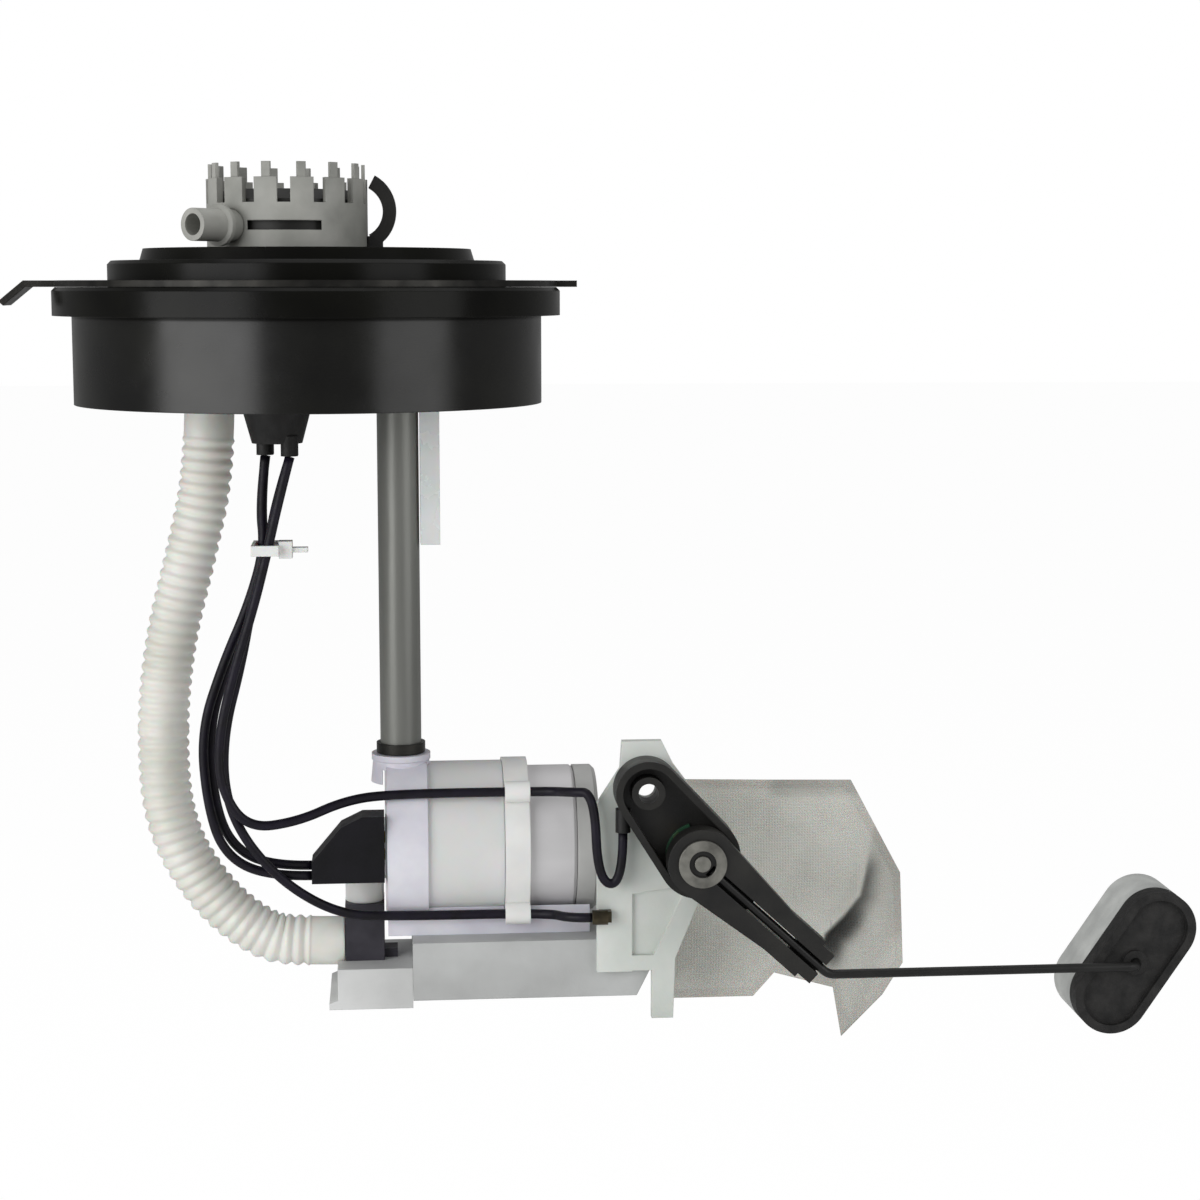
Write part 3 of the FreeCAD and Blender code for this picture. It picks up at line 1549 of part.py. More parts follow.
def make_base_tray():
    """The grey base: a tapered block, hollow from below between its ribs."""
    body = plate("base_tray", [
        (S.tray_left, S.tray_low),
        (S.tray_right - S.tray_slope, S.tray_low),
        (S.tray_right, SADDLE_LOW - S.tray_slope),
        (S.tray_right, SADDLE_LOW),
        (S.tray_left, SADDLE_LOW),
    ], S.tray_half, S.tray_half * 2)
    long_count = SIZES["tray_cells_long"]
    wide_count = SIZES["tray_cells_wide"]
    inner = S.tray_right - S.tray_slope - S.tray_left - S.tray_wall
    long_step = inner / long_count
    wide_step = (S.tray_half * 2 - S.tray_wall) / wide_count
    cells = []
    for along in range(long_count):
        for across in range(wide_count):
            x = S.tray_left + S.tray_wall + long_step * along
            y = -S.tray_half + S.tray_wall + wide_step * across
            cells.append(block((x, x + long_step - S.tray_wall),
                               (y, y + wide_step - S.tray_wall),
                               (S.tray_low - 1, SADDLE_LOW - S.tray_wall)))
    return node("base_tray", cut(body, *cells))


def make_foot():
    """The pale foot at the left, flared at its base and ribbed underneath."""
    right = S.tray_left
    body = plate("foot", [
        (S.foot_left, S.foot_low),
        (right, S.foot_low),
        (right, S.elbow_low),
        (S.foot_left + S.foot_flare, S.elbow_low),
        (S.foot_left + S.foot_flare, S.foot_low + S.foot_slope),
        (S.foot_left, S.foot_low + S.foot_toe),
    ], S.foot_half, S.foot_half * 2)
    step = (S.foot_half * 2 - S.foot_wall) / 2
    cells = []
    for index in range(2):
        y = -S.foot_half + S.foot_wall + step * index
        cells.append(block((S.foot_left + S.foot_flare + S.foot_wall, right - S.foot_wall),
                           (y, y + step - S.foot_wall),
                           (S.foot_low - 1, S.elbow_low - S.foot_wall)))
    hose_way = rod(S.hose_radius + S.hose_room, S.nose_x - S.elbow_half - S.foot_left + 1,
                   S.foot_left - 1, 0, S.hose_end_z, "X")
    return node("foot", cut(body, hose_way, *cells))


# Strainer.

def make_strainer():
    """The flat mesh bag, a plain pillow of its outline."""
    left = S.strainer_left
    right = S.strainer_right
    return node("strainer", plate("strainer", [
        (left, S.strainer_top),
        (left + S.bag_neck, S.strainer_top - S.bag_neck_drop),
        (right - S.bag_shoulder, S.strainer_top - S.bag_shoulder_drop),
        (right - S.bag_elbow, S.strainer_top - S.bag_elbow_drop),
        (right, S.strainer_low + S.bag_cheek),
        (right - S.bag_heel, S.strainer_low - S.bag_heel_drop),
        (S.strainer_tip_x, S.strainer_tip_z),
        (S.strainer_tip_x - S.bag_crease, S.strainer_low + S.bag_crease_rise),
        (S.strainer_tip_x - S.bag_arch, S.strainer_low + S.bag_arch_rise),
        (S.strainer_tip_x - S.bag_toe, S.strainer_low),
        (left - S.strainer_skirt, S.strainer_low),
        (left - S.strainer_skirt, S.strainer_low + S.bag_skirt_rise),
        (left, S.strainer_low + S.bag_waist),
    ], S.strainer_thick / 2, S.strainer_thick))


# Level sender.

BRACKET_BACK = -S.tray_half
HOUSING_BACK = BRACKET_BACK - S.bracket_thick
HOUSING_FRONT = HOUSING_BACK - S.housing_depth
ARM_BACK = HOUSING_FRONT - S.arm_gap
ARM_FRONT = ARM_BACK - S.arm_thick
PIVOT = (S.pivot_x, S.pivot_z)
EYE = (S.eye_x, S.eye_z)


def make_sender_bracket():
    """The white carrier plate: mast, shelf, strut, tail and web, with the top ear."""
    left = S.bracket_left
    depth = S.bracket_thick
    tail = S.pivot_x - S.strut_width
    shelf_top = S.pivot_z - S.shelf_drop
    mast = plate("mast", [
        (left, SADDLE_LOW - S.mast_foot),
        (left + S.mast_width, SADDLE_LOW - S.mast_foot),
        (left + S.mast_width, S.pivot_z - S.mast_notch),
        (S.pivot_x + S.web_corner, S.pivot_z - S.web_drop),
        (S.pivot_x + S.plate_reach, S.pivot_z + S.plate_rise),
        (S.eye_x + S.eye_side, S.eye_z + S.eye_shoulder),
        (S.eye_x + S.eye_crown, S.eye_z + S.eye_top),
        (S.eye_x - S.eye_step, S.eye_z + S.eye_top),
        (S.eye_x - S.eye_back, S.eye_z + S.eye_heel),
        (left, S.eye_z - S.mast_shoulder),
    ], BRACKET_BACK, depth)
    strut = plate("strut", [
        (S.pivot_x, S.pivot_z - S.strut_root),
        (S.pivot_x + S.strut_lead, S.pivot_z - S.strut_root),
        (S.pivot_x - S.strut_lean, S.pivot_z - S.strut_knee),
        (tail, S.strut_low),
        (tail - S.strut_width, S.strut_low),
        (tail - S.strut_width, S.pivot_z - S.strut_knee),
    ], BRACKET_BACK, depth)
    shelf = plate("shelf", [
        (left + S.mast_lap, shelf_top),
        (tail, shelf_top),
        (tail, shelf_top - S.shelf_height),
        (left + S.mast_lap, shelf_top - S.shelf_height),
    ], BRACKET_BACK, depth)
    web = plate("web", [
        (left + S.mast_lap, S.pivot_z - S.web_root),
        (S.pivot_x, S.pivot_z - S.web_root),
        (tail - S.strut_width / 2, shelf_top),
        (left + S.mast_lap, shelf_top),
    ], BRACKET_BACK, S.web_thick)
    eye = rod(S.eye_bore, depth + 1, S.eye_x, BRACKET_BACK - depth - 0.5, S.eye_z, "Y")
    pin_hole = rod(S.pin_radius + S.pin_fit, depth + 1, S.pivot_x,
                   BRACKET_BACK - depth - 0.5, S.pivot_z, "Y")
    return node("sender_bracket", cut(fuse(mast, strut, shelf, web), eye, pin_hole))


def make_sender_housing():
    """The black link-shaped tray, with a rim, an eye and a lead socket."""
    body = new_body("sender_housing")
    pad(body, link_outline(body, "XZ_Plane", EYE, S.eye_radius, PIVOT, S.housing_radius),
        S.housing_depth)
    place(body, 0, HOUSING_BACK, 0)
    hollow = link_plate("housing_hollow", EYE, S.eye_radius - S.housing_wall,
                        PIVOT, S.housing_radius - S.housing_wall,
                        HOUSING_BACK - S.housing_floor, S.housing_depth)
    eye_ring = rod(S.eye_bore + S.eye_wall, S.housing_depth - S.eye_inset, S.eye_x,
                   HOUSING_FRONT + S.eye_inset, S.eye_z, "Y")
    lead = rod(S.lead_socket, S.lead_length, LEAD_END[0], LEAD_END[1], LEAD_END[2])
    eye_hole = rod(S.eye_bore, S.housing_depth + 2, S.eye_x, HOUSING_FRONT - 1, S.eye_z, "Y")
    pin_hole = rod(S.pin_radius + S.pin_fit, S.housing_depth + 2, S.pivot_x,
                   HOUSING_FRONT - 1, S.pivot_z, "Y")
    return node("sender_housing", cut(fuse(cut(body, hollow), eye_ring, lead),
                                      eye_hole, pin_hole))


LEAD_END = (77.2, -28.6, -128.6)


def make_sender_card():
    """The resistor track round the pivot, on the housing's floor."""
    turn = Rotation(Vector(1, 0, 0), 90).multiply(Rotation(Vector(0, 0, 1), SIZES["card_turn"]))
    return node("sender_card", sector(S.card_outer, S.card_inner, S.card_thick, SIZES["card_arc"],
                                      S.pivot_x, HOUSING_BACK - S.housing_floor,
                                      S.pivot_z, turn))


def make_pivot_pin():
    start = ARM_FRONT - S.pin_end
    return node("pivot_pin", rod(S.pin_radius, BRACKET_BACK - start, S.pivot_x, start,
                                 S.pivot_z, "Y"))


def make_sender_terminal():
    """The crimped tag on the bracket that takes the lower wire."""
    x, y, z = S.tag_x, S.tag_y, S.tag_z
    barrel = rod(S.tag_radius, S.tag_length, x, y, z, "X")
    tag = block((x + S.tag_length / 2, x + S.tag_length + 1), (y, HOUSING_BACK),
                (z - S.tag_half, z + S.tag_half))
    return node("sender_terminal", fuse(barrel, tag))


# Arm, rod and float.

ARM_TURN = Rotation(Vector(0, 1, 0), SIZES["arm_angle"])
ARM_DOWN = math.radians(SIZES["arm_angle"])
ROD_Y = ARM_FRONT + S.rod_lane
FLOAT_X = S.pivot_x + S.rod_knee * math.cos(ARM_DOWN) + S.rod_reach
FLOAT_Z = S.pivot_z - S.rod_knee * math.sin(ARM_DOWN)
FLOAT_FRONT = ROD_Y + S.float_gap


def make_arm_holder():
    """The two-rail arm with its hub, grooved for the rod."""
    body = new_body("arm_holder")
    pad(body, link_outline(body, "XZ_Plane", (0, 0), S.arm_hub,
                           (S.arm_length - S.arm_end / 2, 0), S.arm_end / 2), S.arm_thick)
    rails = block((S.rail_start, S.arm_length), (-S.arm_thick, 0), (-S.arm_width / 2, S.arm_width / 2))
    tip = block((S.arm_length - S.arm_tip, S.arm_length + 1), (-S.arm_thick - 1, 1),
                (-S.arm_width, -S.arm_end / 2))
    tip_high = block((S.arm_length - S.arm_tip, S.arm_length + 1), (-S.arm_thick - 1, 1),
                     (S.arm_end / 2, S.arm_width))
    groove = block((S.groove_start, S.arm_length + 1),
                   (-S.arm_thick - 1, -S.arm_thick + S.groove_depth),
                   (-S.arm_groove / 2, S.arm_groove / 2))
    window = block((S.window_start, S.arm_length - S.window_end), (-S.arm_thick - 1, 1),
                   (-S.arm_groove / 2, S.arm_groove / 2))
    pin_hole = rod(S.pin_radius + S.pin_fit, S.arm_thick + 2, 0, -S.arm_thick - 1, 0, "Y")
    return node("arm_holder", place(cut(fuse(body, rails), tip, tip_high, groove, window,
                                        pin_hole),
                                    S.pivot_x, ARM_BACK, S.pivot_z, ARM_TURN))


def make_arm_wiper():
    """The brass finger that runs on the resistor track."""
    reach = ARM_BACK - (HOUSING_BACK - S.housing_floor - S.card_thick)
    width = (-S.wiper_half, S.wiper_half)
    finger = block((-S.wiper_outer, -S.wiper_inner), (0, -reach - S.wiper_press), width)
    root = block((-S.wiper_outer, -S.wiper_root), (0, S.wiper_thick), width)
    return node("arm_wiper", place(fuse(finger, root), S.pivot_x, ARM_BACK, S.pivot_z,
                                   ARM_TURN))


def make_hub_ring():
    """The steel washer that closes the hub in front."""
    return node("hub_ring", tube(S.hub_ring_outer, S.hub_ring_inner, S.hub_ring_thick,
                                 S.pivot_x, ARM_FRONT - S.hub_ring_thick, S.pivot_z, "Y"))


def make_float_rod():
    """The bent wire from the arm's groove to the float's axle."""
    down = math.sin(ARM_DOWN)
    along = math.cos(ARM_DOWN)
    y = float(ROD_Y)
    x, z = float(S.pivot_x), float(S.pivot_z)
    knee = float(S.rod_knee)
    start = float(S.pin_radius + S.rod_start)
    back = float(FLOAT_FRONT + S.cap_depth + S.float_depth + S.nut_thick + S.axle_end)
    points = [
        Vector(x + start * along, y, z - start * down),
        Vector(x + knee * along, y, z - knee * down),
        Vector(float(FLOAT_X), y, float(FLOAT_Z)),
        Vector(float(FLOAT_X), back, float(FLOAT_Z)),
    ]
    bends = [float(S.rod_bend), float(S.axle_bend)]
    return shape_node("float_rod", swept(arc_path(points, bends), float(S.rod_radius)))


FLOAT_TURN = Rotation(Vector(0, 1, 0), -SIZES["float_angle"])
FLOAT_HALF = (S.float_length - S.float_width) / 2


EDGE_NEAR = 0.01


def float_block(name, radius, back, depth):
    return link_plate(name, (-FLOAT_HALF, 0), radius, (FLOAT_HALF, 0), radius, back, depth)


def make_float_body():
    """The grey rear half of the float, rounded at its back edge."""
    radius = S.float_width / 2
    block_body = float_block("float_body", radius, S.float_depth, S.float_depth)
    document.recompute()
    edges = [index + 1 for index, edge in enumerate(block_body.Shape.Edges)
             if edge.CenterOfMass.y > SIZES["float_depth"] - EDGE_NEAR]
    soft = document.addObject("Part::Chamfer", "Soft")
    soft.Base = block_body
    soft.Edges = [(index, SIZES["float_round"], SIZES["float_round"]) for index in edges]
    bore = rod(S.rod_radius + S.float_fit, S.float_depth + 2, 0, -1, 0, "Y")
    return node("float_body", place(cut(soft, bore), FLOAT_X, FLOAT_FRONT + S.cap_depth,
                                    FLOAT_Z, FLOAT_TURN))


def make_float_cap():
    """The black front half of the float, with a raised rim."""
    radius = S.float_width / 2
    body = float_block("float_cap", radius, S.cap_depth, S.cap_depth)
    face = float_block("cap_face", radius - S.cap_rim, S.cap_recess, S.cap_recess + 1)
    bore = rod(S.rod_radius + S.float_fit, S.cap_depth + 2, 0, -1, 0, "Y")
    hub = tube(S.cap_hub, S.rod_radius + S.float_fit, S.cap_depth - S.cap_hub_inset,
               0, S.cap_hub_inset, 0, "Y")
    return node("float_cap", place(fuse(cut(body, face, bore), hub), FLOAT_X, FLOAT_FRONT,
                                   FLOAT_Z, FLOAT_TURN))


def make_float_nut():
    """The push nut that keeps the float on its axle."""
    return node("float_nut", tube(S.nut_radius, S.rod_radius, S.nut_thick, FLOAT_X,
                                  FLOAT_FRONT + S.cap_depth + S.float_depth + S.nut_gap,
                                  FLOAT_Z, "Y"))


# Hose, wires and tie. Their routes are lists of hand-chosen points.

HOSE_ROUTE = [
    (-25.4, 0, -22.3),
    (-25.9, 0, -39.5),
    (-30.8, 0, -60.5),
    (-36.8, 0, -83),
    (-39.3, 0, -106),
    (-38.2, 0, -130.5),
    (-28, 0, -149.5),
    (-14, 0, -161.4),
    (-3.5, 0, -162.7),
    (6.9, 0, -162.7),
]
PUMP_WIRE_ONE = [
    (-10.7, -18.6, -34.4),
    (-11.9, -18.6, -46),
    (-11.2, -18.6, -57),
    (-15.3, -18.6, -71),
    (-22, -18.6, -86),
    (-27.8, -18.6, -103),
    (-26.8, -18.6, -121),
    (-23, -18.6, -134.5),
    (-12.5, -18.6, -140.6),
    (-0.9, -18.6, -140.6),
]
PUMP_WIRE_TWO = [
    (-10.7, -15.8, -34.4),
    (-12.4, -15.8, -46.5),
    (-11.4, -15.8, -57.4),
    (-14.5, -15.8, -70),
    (-20.5, -15.8, -85),
    (-26, -15.8, -102),
    (-25.4, -15.8, -120),
    (-21.6, -15.8, -132.6),
    (-12, -15.8, -138.6),
    (-0.9, -15.8, -138.6),
]
SENDER_WIRE_ONE = [
    (-4.5, -24.2, -34.4),
    (-7.6, -24.2, -46),
    (-10.2, -24.2, -57),
    (-13.8, -24.2, -71),
    (-19, -24.2, -87),
    (-23.2, -24.2, -104),
    (-22.8, -24.2, -117),
    (-16.5, -23.9, -127),
    (-4, -22.3, -125.8),
    (7.5, -19, -121.4),
    (19, -17, -120.3),
    (59, -17, -120.3),
    (64.5, -25.5, -118.9),
    (70, -28.6, -118.4),
    (70.9, -28.6, -141.4),
    (77.2, -28.6, -142.2),
    (77.2, -28.6, -128.8),
]
SENDER_WIRE_TWO = [
    (-4.5, -21.4, -34.4),
    (-8.4, -21.4, -46.5),
    (-10.1, -21.4, -57.2),
    (-14.4, -21.4, -70.5),
    (-17.4, -21.4, -86),
    (-22, -21.4, -103),
    (-22.2, -21.4, -118.5),
    (-17.2, -21.4, -131),
    (-7, -21.4, -142.5),
    (6, -19.5, -150.6),
    (19, -17, -152.1),
    (59, -17, -152.1),
    (63.8, -27.5, -150.8),
    (69.4, -27.5, -150.8),
]


def make_cords():
    cord("hose", HOSE_ROUTE, float(S.hose_radius), float(S.hose_bore))
    cord("pump_wire_one", PUMP_WIRE_ONE, float(S.wire_radius))
    cord("pump_wire_two", PUMP_WIRE_TWO, float(S.wire_radius))
    cord("sender_wire_one", SENDER_WIRE_ONE, float(S.wire_radius))
    cord("sender_wire_two", SENDER_WIRE_TWO, float(S.wire_radius))


def make_zip_tie():
    """The white strap round the four wires, with its head and cut tail."""
    band = block((S.tie_left, S.tie_right), (S.tie_front, S.tie_back),
                 (S.tie_low, S.tie_low + S.tie_width))
    inside = block((S.tie_left + S.tie_wall, S.tie_right - S.tie_wall),
                   (S.tie_front + S.tie_wall, S.tie_back - S.tie_wall),
                   (S.tie_head_low, S.tie_head_top))
    head = block((S.tie_right - S.tie_lap, S.tie_right + S.tie_head),
                 (S.tie_head_front, S.tie_head_back), (S.tie_head_low, S.tie_head_top))
    tail = block((S.tie_right + S.tie_head - S.tie_lap, S.tie_right + S.tie_tail),
                 (S.tie_tail_front, S.tie_tail_back),
                 (S.tie_tail_low, S.tie_tail_low + S.tie_tail_height))
    return node("zip_tie", cut(fuse(band, head, tail), inside))


make_flange_cup()
make_cup_floor()
make_tank_seal()
make_lock_ring()
make_filter_can()
make_filter_crown()
make_supply_nipple()
make_filter_element()
make_regulator_body()
make_regulator_diaphragm()
make_regulator_valve()
make_regulator_spring()
make_can_clip()
make_connector_socket()
make_connector_blades()
make_wire_boot()
make_guide_leg()
make_guide_post()
make_post_ferrule()
make_post_spring()
make_pump_can()
make_pump_sleeve()
make_pump_band()
make_outlet_cover()
make_inlet_cover()
make_pump_plate()
make_pump_magnets()
make_pump_brushes()
make_rotor_shaft()
make_rotor_core()
make_rotor_windings()
make_commutator()
make_impeller()
make_outlet_elbow()
make_check_poppet()
make_check_spring()
make_pump_plug()
make_pump_terminals()
make_cradle()
make_base_tray()
make_foot()
make_strainer()
make_sender_bracket()
make_sender_housing()
make_sender_card()
make_pivot_pin()
make_sender_terminal()
make_arm_holder()
make_arm_wiper()
make_hub_ring()
make_float_rod()
make_float_body()
make_float_cap()
make_float_nut()
make_cords()
make_zip_tie()

document.recompute()
for item in document.Objects:
    if "Invalid" in item.State or "Error" in item.State:
        raise ValueError("%s (%s) is %s" % (item.Name, item.Label, item.State))
os.makedirs("parts", exist_ok=True)
for item in nodes:
    if item.Shape.isNull() or not item.Shape.isValid():
        raise ValueError(item.Label + " has no valid shape")
for item in nodes:
    item.Shape.exportStep("parts/%s.step" % item.Label)
print("%d sub-parts written" % len(nodes))
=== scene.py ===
import math

import bpy
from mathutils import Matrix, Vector, noise


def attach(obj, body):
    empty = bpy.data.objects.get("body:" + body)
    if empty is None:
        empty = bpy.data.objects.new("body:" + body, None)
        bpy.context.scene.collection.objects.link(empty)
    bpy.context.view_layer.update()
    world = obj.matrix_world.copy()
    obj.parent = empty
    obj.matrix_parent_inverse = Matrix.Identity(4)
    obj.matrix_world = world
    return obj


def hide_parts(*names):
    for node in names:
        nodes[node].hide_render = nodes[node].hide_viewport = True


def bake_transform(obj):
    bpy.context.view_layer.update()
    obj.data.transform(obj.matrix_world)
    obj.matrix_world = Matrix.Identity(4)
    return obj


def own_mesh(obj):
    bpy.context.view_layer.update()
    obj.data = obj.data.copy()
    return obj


# Looks of the in-tank fuel pump module. Places, routes and outlines are written in
# millimetres, as in the part's source, and turned to metres here.

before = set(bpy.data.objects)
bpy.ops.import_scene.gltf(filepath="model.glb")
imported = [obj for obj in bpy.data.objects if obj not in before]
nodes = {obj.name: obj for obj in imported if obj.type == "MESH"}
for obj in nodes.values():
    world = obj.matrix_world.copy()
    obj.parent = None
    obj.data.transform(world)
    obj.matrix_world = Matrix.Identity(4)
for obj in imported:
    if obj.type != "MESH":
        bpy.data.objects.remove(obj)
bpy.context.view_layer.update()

MM = 0.001


def metres(point):
    return Vector(point) * MM


def linear(value):
    """One sRGB channel, 0 to 255, as the linear value that a shader takes."""
    share = value / 255
    if share <= 0.04045:
        return share / 12.92
    return ((share + 0.055) / 1.055) ** 2.4


def colour(red, green, blue):
    return (linear(red), linear(green), linear(blue), 1)


def placed(name, data):
    """A new object of the scene, made from its data."""
    item = bpy.data.objects.new(name, data)
    bpy.context.scene.collection.objects.link(item)
    return item


# Shader nodes.

WHITE = (1, 1, 1, 1)


def link(tree, source, target):
    tree.links.new(source, target)


def set_inputs(item, values):
    """A node's inputs set by name, with an underscore for each space."""
    for name, value in values.items():
        item.inputs[name.replace("_", " ")].default_value = value


def add(tree, kind, **values):
    item = tree.nodes.new(kind)
    set_inputs(item, values)
    return item


def maths(tree, operation, first, second):
    """The result of a maths node on a socket and a second socket or number."""
    item = add(tree, "ShaderNodeMath")
    item.operation = operation
    link(tree, first, item.inputs[0])
    if isinstance(second, float):
        item.inputs[1].default_value = second
    else:
        link(tree, second, item.inputs[1])
    return item.outputs[0]


def show_mixed(tree, kind, share, first, second):
    """Two shaders mixed by a share and sent to a new output of the tree."""
    mix = add(tree, "ShaderNodeMixShader")
    link(tree, share, mix.inputs[0])
    link(tree, first.outputs[0], mix.inputs[1])
    link(tree, second.outputs[0], mix.inputs[2])
    link(tree, mix.outputs[0], add(tree, kind).inputs[0])


def colour_mix(tree, share):
    """The two colour inputs and the output of a new mix by a share."""
    mix = add(tree, "ShaderNodeMix")
    mix.data_type = "RGBA"
    link(tree, share, mix.inputs["Factor"])
    first, second = [socket for socket in mix.inputs if socket.type == "RGBA"]
    output, = [socket for socket in mix.outputs if socket.type == "RGBA"]
    return first, second, output


# Camera and light.

CAMERA_AT = (20.34, -612.36, 7.34)
LOOKS_AT = (73.92, 0, -73.59)
SENSOR = 36
LENS = 71.61
CLIP_START = 0.01
WORLD_STRENGTH = 0.26
FLOOR_Z = -262
FLOOR_REACH = 6.0
FLOOR_GREY = (238, 238, 238)
FLOOR_GLOW = 1.03
FLOOR_GLOW_SHARE = 0.94

# Each lamp's place, the point it is aimed at, its width and height in metres and its power.
LAMPS = {
    "key": ((-490, -470, 60), (0, 0, -60), 0.62, 0.5, 3.2),
    "fill": ((530, -430, 60), (0, 0, -60), 0.46, 0.5, 1.2),
    "top": ((60, 120, 620), (60, 0, -60), 0.7, 0.7, 1.6),
}


def aim(item, target):
    direction = metres(target) - item.location
    item.rotation_euler = direction.to_track_quat("-Z", "Y").to_euler()


def make_camera():
    data = bpy.data.cameras.new("camera")
    data.lens = LENS
    data.sensor_width = SENSOR
    data.sensor_height = SENSOR
    data.clip_start = CLIP_START
    item = placed("camera", data)
    item.location = metres(CAMERA_AT)
    aim(item, LOOKS_AT)
    bpy.context.scene.camera = item


def make_lamp(name, place, target, width, height, power):
    data = bpy.data.lights.new(name, "AREA")
    data.shape = "RECTANGLE"
    data.size = width
    data.size_y = height
    data.energy = power
    item = placed(name, data)
    item.location = metres(place)
    aim(item, target)


def make_world():
    """Soft grey light from all round, seen as plain white by the camera."""
    world = bpy.data.worlds.new("studio")
    world.use_nodes = True
    tree = world.node_tree
    tree.nodes.clear()
    light = add(tree, "ShaderNodeBackground", Color=WHITE, Strength=WORLD_STRENGTH)
    white = add(tree, "ShaderNodeBackground", Color=WHITE, Strength=1.0)
    path = add(tree, "ShaderNodeLightPath")
    seen = maths(tree, "MAXIMUM", path.outputs["Is Camera Ray"],
                 path.outputs["Is Transmission Ray"])
    show_mixed(tree, "ShaderNodeOutputWorld", seen, light, white)
    bpy.context.scene.world = world


def make_floor():
    """A pale floor below the hanging part. It keeps the part's soft shadow."""
    mesh = bpy.data.meshes.new("floor")
    reach = FLOOR_REACH
    z = FLOOR_Z * MM
    mesh.from_pydata([(-reach, -reach, z), (reach, -reach, z), (reach, reach, z),
                      (-reach, reach, z)], [], [(0, 1, 2, 3)])
    item = placed("floor", mesh)
    material = bpy.data.materials.new("floor_white")
    material.use_nodes = True
    tree = material.node_tree
    tree.nodes.clear()
    matt = add(tree, "ShaderNodeBsdfDiffuse", Color=colour(*FLOOR_GREY))
    white = add(tree, "ShaderNodeEmission", Color=WHITE, Strength=FLOOR_GLOW)
    path = add(tree, "ShaderNodeLightPath")
    share = maths(tree, "MULTIPLY", path.outputs["Is Camera Ray"], FLOOR_GLOW_SHARE)
    show_mixed(tree, "ShaderNodeOutputMaterial", share, matt, white)
    mesh.materials.append(material)


make_camera()
make_world()
make_floor()
for name, facts in LAMPS.items():
    make_lamp(name, *facts)


# Materials.

ROUNDING = 0.00035
ROUNDING_SAMPLES = 4
FIELD_MIDDLE = (0.32, 0.68)
PATCH_DETAIL = 5
WEAR_DETAIL = 6
WEAR_SCALE = 2.3
GRAIN_DETAIL = 3
GRAIN_DEPTH = 0.0002
EVEN = (1, 1, 1)


def noise_field(tree, scale, detail, stretch):
    """Noise that stays with the piece, in cycles per metre."""
    place = add(tree, "ShaderNodeTexCoord")
    mapping = add(tree, "ShaderNodeMapping", Scale=stretch)
    field = add(tree, "ShaderNodeTexNoise", Scale=scale, Detail=detail)
    link(tree, place.outputs["Object"], mapping.inputs["Vector"])
    link(tree, mapping.outputs["Vector"], field.inputs["Vector"])
    return field.outputs["Fac"]


def spread(tree, source, low, high):
    """The middle of a noise field stretched over a range of values."""
    item = add(tree, "ShaderNodeMapRange", From_Min=FIELD_MIDDLE[0],
               From_Max=FIELD_MIDDLE[1], To_Min=low, To_Max=high)
    link(tree, source, item.inputs["Value"])
    return item.outputs["Result"]


def surface(name, dark, light, patch, rough, grain, bump, stretch=EVEN,
            grain_stretch=EVEN, **fixed):
    """A finish with patchy colour and roughness, a fine grain and softened edges."""
    material = bpy.data.materials.new(name)
    material.use_nodes = True
    tree = material.node_tree
    shader = tree.nodes["Principled BSDF"]
    patches = noise_field(tree, patch, PATCH_DETAIL, stretch)
    first, second, mixed = colour_mix(tree, spread(tree, patches, 0, 1))
    first.default_value = colour(*dark)
    second.default_value = colour(*light)
    link(tree, mixed, shader.inputs["Base Color"])
    wear = noise_field(tree, patch * WEAR_SCALE, WEAR_DETAIL, stretch)
    link(tree, spread(tree, wear, *rough), shader.inputs["Roughness"])
    edge = add(tree, "ShaderNodeBevel", Radius=ROUNDING)
    edge.samples = ROUNDING_SAMPLES
    relief = add(tree, "ShaderNodeBump", Strength=bump, Distance=GRAIN_DEPTH)
    link(tree, noise_field(tree, grain, GRAIN_DETAIL, grain_stretch),
         relief.inputs["Height"])
    link(tree, edge.outputs["Normal"], relief.inputs["Normal"])
    link(tree, relief.outputs["Normal"], shader.inputs["Normal"])
    set_inputs(shader, fixed)
    return material


def shine(level):
    return {"Specular_IOR_Level": level}


def metal(share):
    return {"Metallic": share}


def milky(weight, reach):
    return {"Subsurface_Weight": weight, "Subsurface_Scale": reach}


